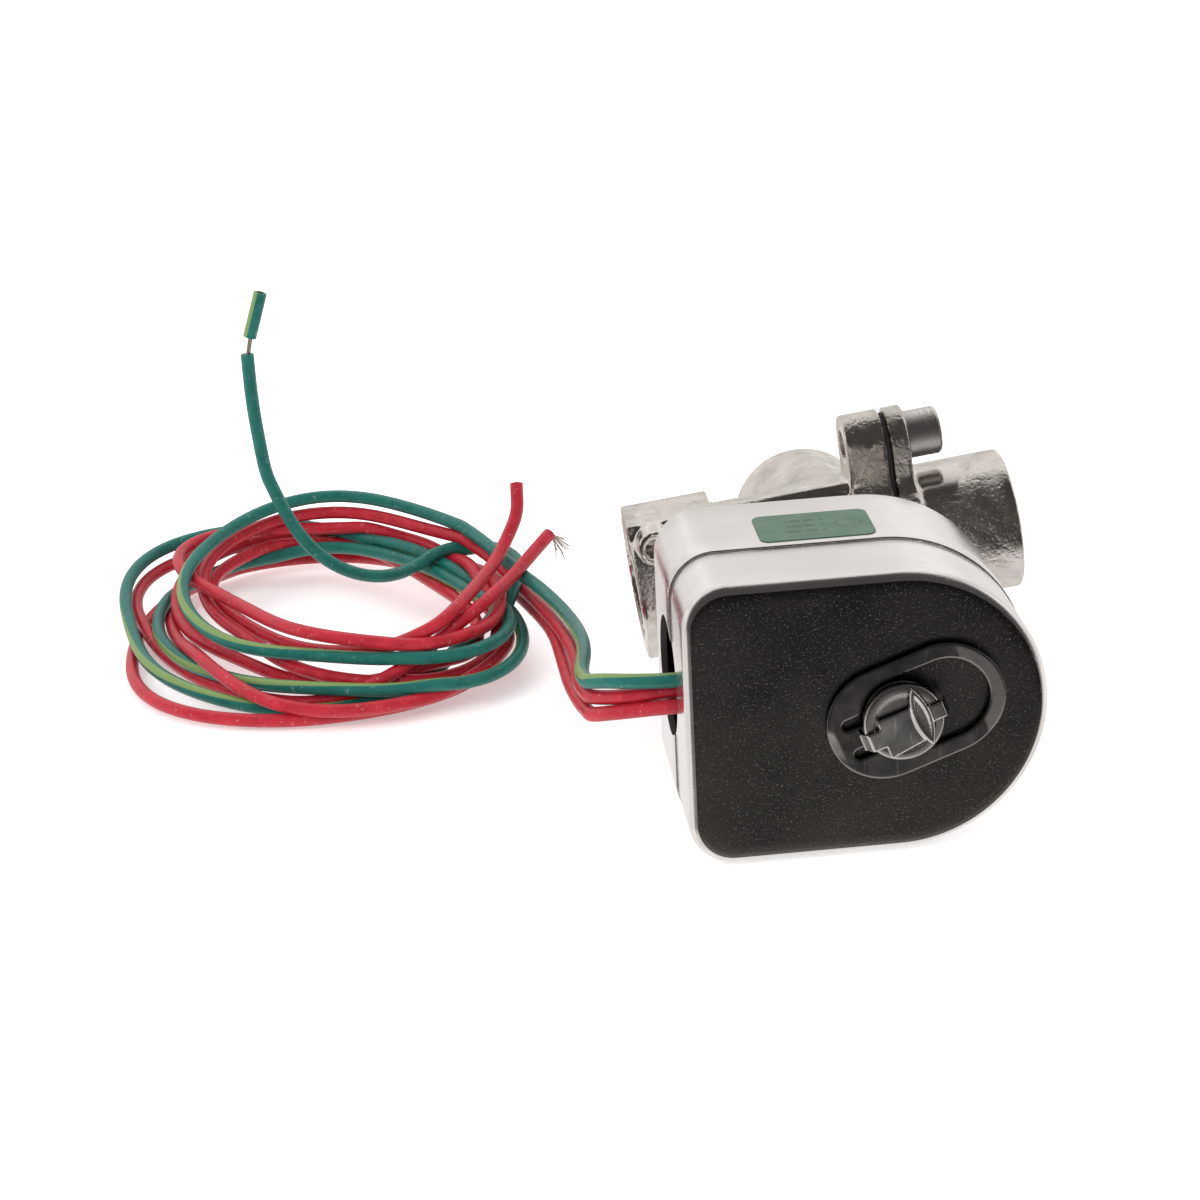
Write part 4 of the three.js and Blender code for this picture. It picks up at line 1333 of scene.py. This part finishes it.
def strand_bundle(start, way, length, radius, count=7, splay=0.0, seed=3):
    """Fine wires side by side, each a thin tube that bends out by its own share of the splay."""
    way = np.asarray(way, float) / np.linalg.norm(way)
    side = np.cross(way, (0.3, 1.0, 0.1))
    side /= np.linalg.norm(side)
    other = np.cross(way, side)
    spread = np.random.default_rng(seed)
    shells = []
    for k in range(count):
        angle = 2.4 * k
        out = radius * 2.0 * math.sqrt(k / count)
        lean = math.cos(angle) * side + math.sin(angle) * other
        wander = spread.normal(0, 1, 3) * splay * 0.35
        t = np.linspace(0, 1, 10)[:, None]
        reach = length * (1 - 0.35 * spread.random() * (splay > 0))
        path = np.asarray(start) + lean * out + way * reach * t
        path = path + (lean * splay + wander) * t**1.6 - np.array([0, 0, 1]) * splay * 0.9 * t**2
        points, faces, _ = tube(path, radius, 6)
        shells.append((points, faces))
    return join(*shells)


class VALVE_OT_leads(bpy.types.Operator):
    """Lay the two red leads and the green lead, with their coil and their free ends"""

    bl_idname = "valve.leads"
    bl_label = "Leads"

    def execute(self, context):
        group = settings("valve_leads")
        diameter = group.diameter / MM
        plans = [("green", GREEN_RUN, GREEN_TAIL), ("red_a", RED_RUN_A, RED_TAIL_A),
                 ("red_b", RED_RUN_B, RED_TAIL_B)]
        routes = [smooth_path(coil_route(name, run, tail), 2.5) for name, run, tail in plans]
        routes = settle(routes, diameter * 1.01, group.settle_steps)
        nodes = {
            "green": ["green_lead", "green_tail", "lead_coil"],
            "red_a": ["red_lead_a", "red_tail_a"],
            "red_b": ["red_lead_b", "red_tail_b"],
        }
        for (name, run, *_), route in zip(plans, routes):
            path = smooth_path(route, 1.3)
            shade = "green" if name == "green" else "red"
            points, faces, uv = tube(path, diameter / 2, 20, twist=0.004 if name == "green" else 0)
            piece = add_piece(f"{name}_wire", floor_to_row(points), faces, "solenoid", nodes[name],
                              [FINISHES[shade]], uv=uv, smooth=50)
            with_pieces = self.ends(name, path, diameter)
        return {"FINISHED"}

    @staticmethod
    def ends(name, path, diameter):
        """What shows at a lead's free end: a bare stretch and a slug on green, with a black ring of painted
        shade in the slug's open end, strands on the reds.
        """
        tip = path[-1]
        way = path[-1] - path[-3]
        way = way / np.linalg.norm(way)
        if name == "green":
            points, faces, _ = strand_bundle(tip - way * 0.6, SLUG[0] - tip, 5.0, 0.2)
            wire = add_piece("bare_conductor_strands", floor_to_row(points), faces, "solenoid",
                             ["bare_conductor"], [FINISHES["tinned"]])
            line = smooth_path(SLUG, 0.8)
            points, faces, uv = tube(line, diameter / 2, 24)
            slug = add_piece("insulation_slug_tube", floor_to_row(points), faces, "solenoid",
                             ["insulation_slug"], [FINISHES["green"]], uv=uv)
            # A black ring with the rubber finish at the slug's end is painted shade, standing for the dark
            # hollow where the conductor was.
            points, faces = turned([(0.55, 0.0), (0.75, 0.12), (0.55, 0.2)], 24)
            end_way = line[-1] - line[-2]
            end_way /= np.linalg.norm(end_way)
            side = np.cross(end_way, (0, 1, 0))
            side /= np.linalg.norm(side)
            other = np.cross(end_way, side)
            points = line[-1] + points[:, :1] * side + points[:, 1:2] * end_way + points[:, 2:] * other
            bore = add_piece("slug_end_shade", floor_to_row(points), outward(points, faces), "solenoid", [],
                             [FINISHES["rubber"]])
            return [wire, slug, bore]
        if name == "red_b":
            frayed = way * 0.4 + np.array([0.6, 0.1, -0.9])
            points, faces, _ = strand_bundle(tip, frayed, 5.0, 0.11, 14, 1.3, 8)
        else:
            points, faces, _ = strand_bundle(tip - way * 0.5, way, 0.75, 0.2)
        return [add_piece(f"{name}_strands", floor_to_row(points), faces, "solenoid", [],
                          [FINISHES["tinned"]])]


# ---- finishes on the frame's own nodes ----


class VALVE_OT_inner_finishes(bpy.types.Operator):
    """Give the inner pieces, which keep their frame shapes, their finishes"""

    bl_idname = "valve.inner_finishes"
    bl_label = "Inner pieces"

    def execute(self, context):
        finish_of = {
            "coil_bobbin": "nylon", "coil_winding": "copper", "yoke_sleeve": "plain",
            "yoke_front_plate": "plain", "yoke_rear_plate": "plain", "plugnut": "stainless",
            "shading_ring": "copper", "core": "stainless", "core_spring": "stainless",
            "core_seal_disc": "rubber", "bonnet_o_ring": "rubber", "pilot_seat": "stainless",
            "diaphragm_poppet": "rubber",
        }
        for node, finish in finish_of.items():
            mesh = frame["nodes"][node].data
            mesh.materials.clear()
            mesh.materials.append(FINISHES[finish])
        return {"FINISHED"}


# ---- stage ----


def soft_light(name, place, aim, width, height, power):
    """A large soft light that neither the camera nor polished metal sees."""
    light = bpy.data.lights.new(name, "AREA")
    light.shape, light.size, light.size_y = "RECTANGLE", width, height
    light.energy = power
    lamp = bpy.data.objects.new(name, light)
    bpy.context.scene.collection.objects.link(lamp)
    lamp.location = place
    lamp.rotation_euler = (Vector(aim) - Vector(place)).to_track_quat("-Z", "Y").to_euler()
    lamp.visible_camera = False
    lamp.visible_glossy = False


class VALVE_OT_camera(bpy.types.Operator):
    """Set the camera at the reference viewing angle"""

    bl_idname = "valve.camera"
    bl_label = "Camera"

    def execute(self, context):
        group = settings("valve_stage")
        aim = Vector((AXIS_X - 0.0517, FRONT_Y, 0.0536))
        a, e = group.azimuth, group.elevation
        back = Vector((math.sin(a) * math.cos(e), -math.cos(a) * math.cos(e), math.sin(e)))
        camera = bpy.data.objects.new("camera", bpy.data.cameras.new("camera"))
        camera.data.lens, camera.data.sensor_width = group.lens, 36.0
        camera.data.clip_start, camera.data.clip_end = 0.01, 20.0
        context.scene.collection.objects.link(camera)
        turn = back.to_track_quat("Z", "Y").to_matrix().to_4x4() @ Matrix.Rotation(group.roll, 4, "Z")
        camera.matrix_world = Matrix.Translation(aim + back * group.distance) @ turn
        context.scene.camera = camera
        return {"FINISHED"}


class VALVE_OT_stage(bpy.types.Operator):
    """Build the pale floor, the world and the soft lights"""

    bl_idname = "valve.stage"
    bl_label = "Floor and lights"

    def execute(self, context):
        group = settings("valve_stage")
        half = 4.0
        mesh = bpy.data.meshes.new("floor")
        mesh.from_pydata([(-half, -half, 0), (half, -half, 0), (half, half, 0), (-half, half, 0)], [],
                         [(0, 1, 2, 3)])
        mesh.materials.append(light_table("light_table", tuple(group.floor)))
        floor = bpy.data.objects.new("floor", mesh)
        context.scene.collection.objects.link(floor)
        floor.location.z = -0.0001
        floor.visible_glossy = False
        context.scene.world = self.studio()
        aim = (-0.03, 0.02, 0.03)
        soft_light("left_card", (-0.75, -0.55, 0.75), aim, 0.7, 0.6, 4.0)
        soft_light("right_card", (0.85, -0.15, 0.6), aim, 0.6, 0.6, 1.0)
        soft_light("back_card", (0.1, 0.95, 0.8), aim, 1.2, 0.8, 3)
        context.scene.view_settings.view_transform = "Standard"
        return {"FINISHED"}

    @staticmethod
    def studio():
        """An even white room that lights everything, but whose front, where the room is open, looks dark in
        polished metal."""
        world = bpy.data.worlds.new("studio")
        room = Patterns(world, "Generated")
        world.cycles.sampling_method = "NONE"
        even = room.nodes["Background"]
        even.inputs["Color"].default_value = (1.0, 1.0, 1.0, 1)
        even.inputs["Strength"].default_value = 1.02
        way = room.split(room.place)
        lean = room.combine("ADD", way["Y"], room.combine("MULTIPLY_ADD", way["Z"], -0.35, -0.05))
        closed = room.ramp(lean, -0.34, -0.08, smooth=True)
        ground = room.ramp(way["Z"], -0.42, -0.66, smooth=True)
        patches = room.ramp(room.noise(2.2, 2.0, 0.5), 0.38, 0.60, 0.66, 1.0)
        bright = room.combine("MULTIPLY", room.combine("MAXIMUM", closed, ground), patches)
        mirrored = room.add("Background")
        room.links.new(room.mix(bright, (0.060, 0.057, 0.055), (1.0, 0.975, 0.96)), mirrored.inputs["Color"])
        choice = room.add("MixShader")
        room.links.new(room.add("LightPath").outputs["Is Glossy Ray"], choice.inputs[0])
        room.links.new(even.outputs[0], choice.inputs[1])
        room.links.new(mirrored.outputs[0], choice.inputs[2])
        room.links.new(choice.outputs[0], room.nodes["World Output"].inputs["Surface"])
        return world


class VALVE_PT_panel(bpy.types.Panel):
    """Lists the builders in the sidebar"""

    bl_idname = "VALVE_PT_panel"
    bl_label = "Solenoid Valve"
    bl_space_type = "VIEW_3D"
    bl_region_type = "UI"
    bl_category = "Solenoid Valve"

    def draw(self, context):
        for operator in OPERATORS:
            self.layout.operator(operator.bl_idname)


SETTINGS = {
    "valve_housing": HousingSettings,
    "valve_clip": ClipSettings,
    "valve_body_settings": ValveSettings,
    "valve_leads": LeadSettings,
    "valve_stage": StageSettings,
}
OPERATORS = (
    VALVE_OT_camera,
    VALVE_OT_leads,
    VALVE_OT_housing,
    VALVE_OT_label,
    VALVE_OT_clip,
    VALVE_OT_castings,
    VALVE_OT_fasteners,
    VALVE_OT_inner_finishes,
    VALVE_OT_stage,
)


def register():
    for group in SETTINGS.values():
        bpy.utils.register_class(group)
    for name, group in SETTINGS.items():
        setattr(bpy.types.Scene, name, PointerProperty(type=group))
    for operator in OPERATORS:
        bpy.utils.register_class(operator)
    bpy.utils.register_class(VALVE_PT_panel)


def unregister():
    bpy.utils.unregister_class(VALVE_PT_panel)
    for operator in reversed(OPERATORS):
        bpy.utils.unregister_class(operator)
    for name in SETTINGS:
        delattr(bpy.types.Scene, name)
    for group in reversed(SETTINGS.values()):
        bpy.utils.unregister_class(group)


def main():
    """Builds everything in order."""
    register()
    make_finishes()
    for operator in OPERATORS:
        category, name = operator.bl_idname.split(".")
        getattr(getattr(bpy.ops, category), name)()


if __name__ == "__main__":
    main()
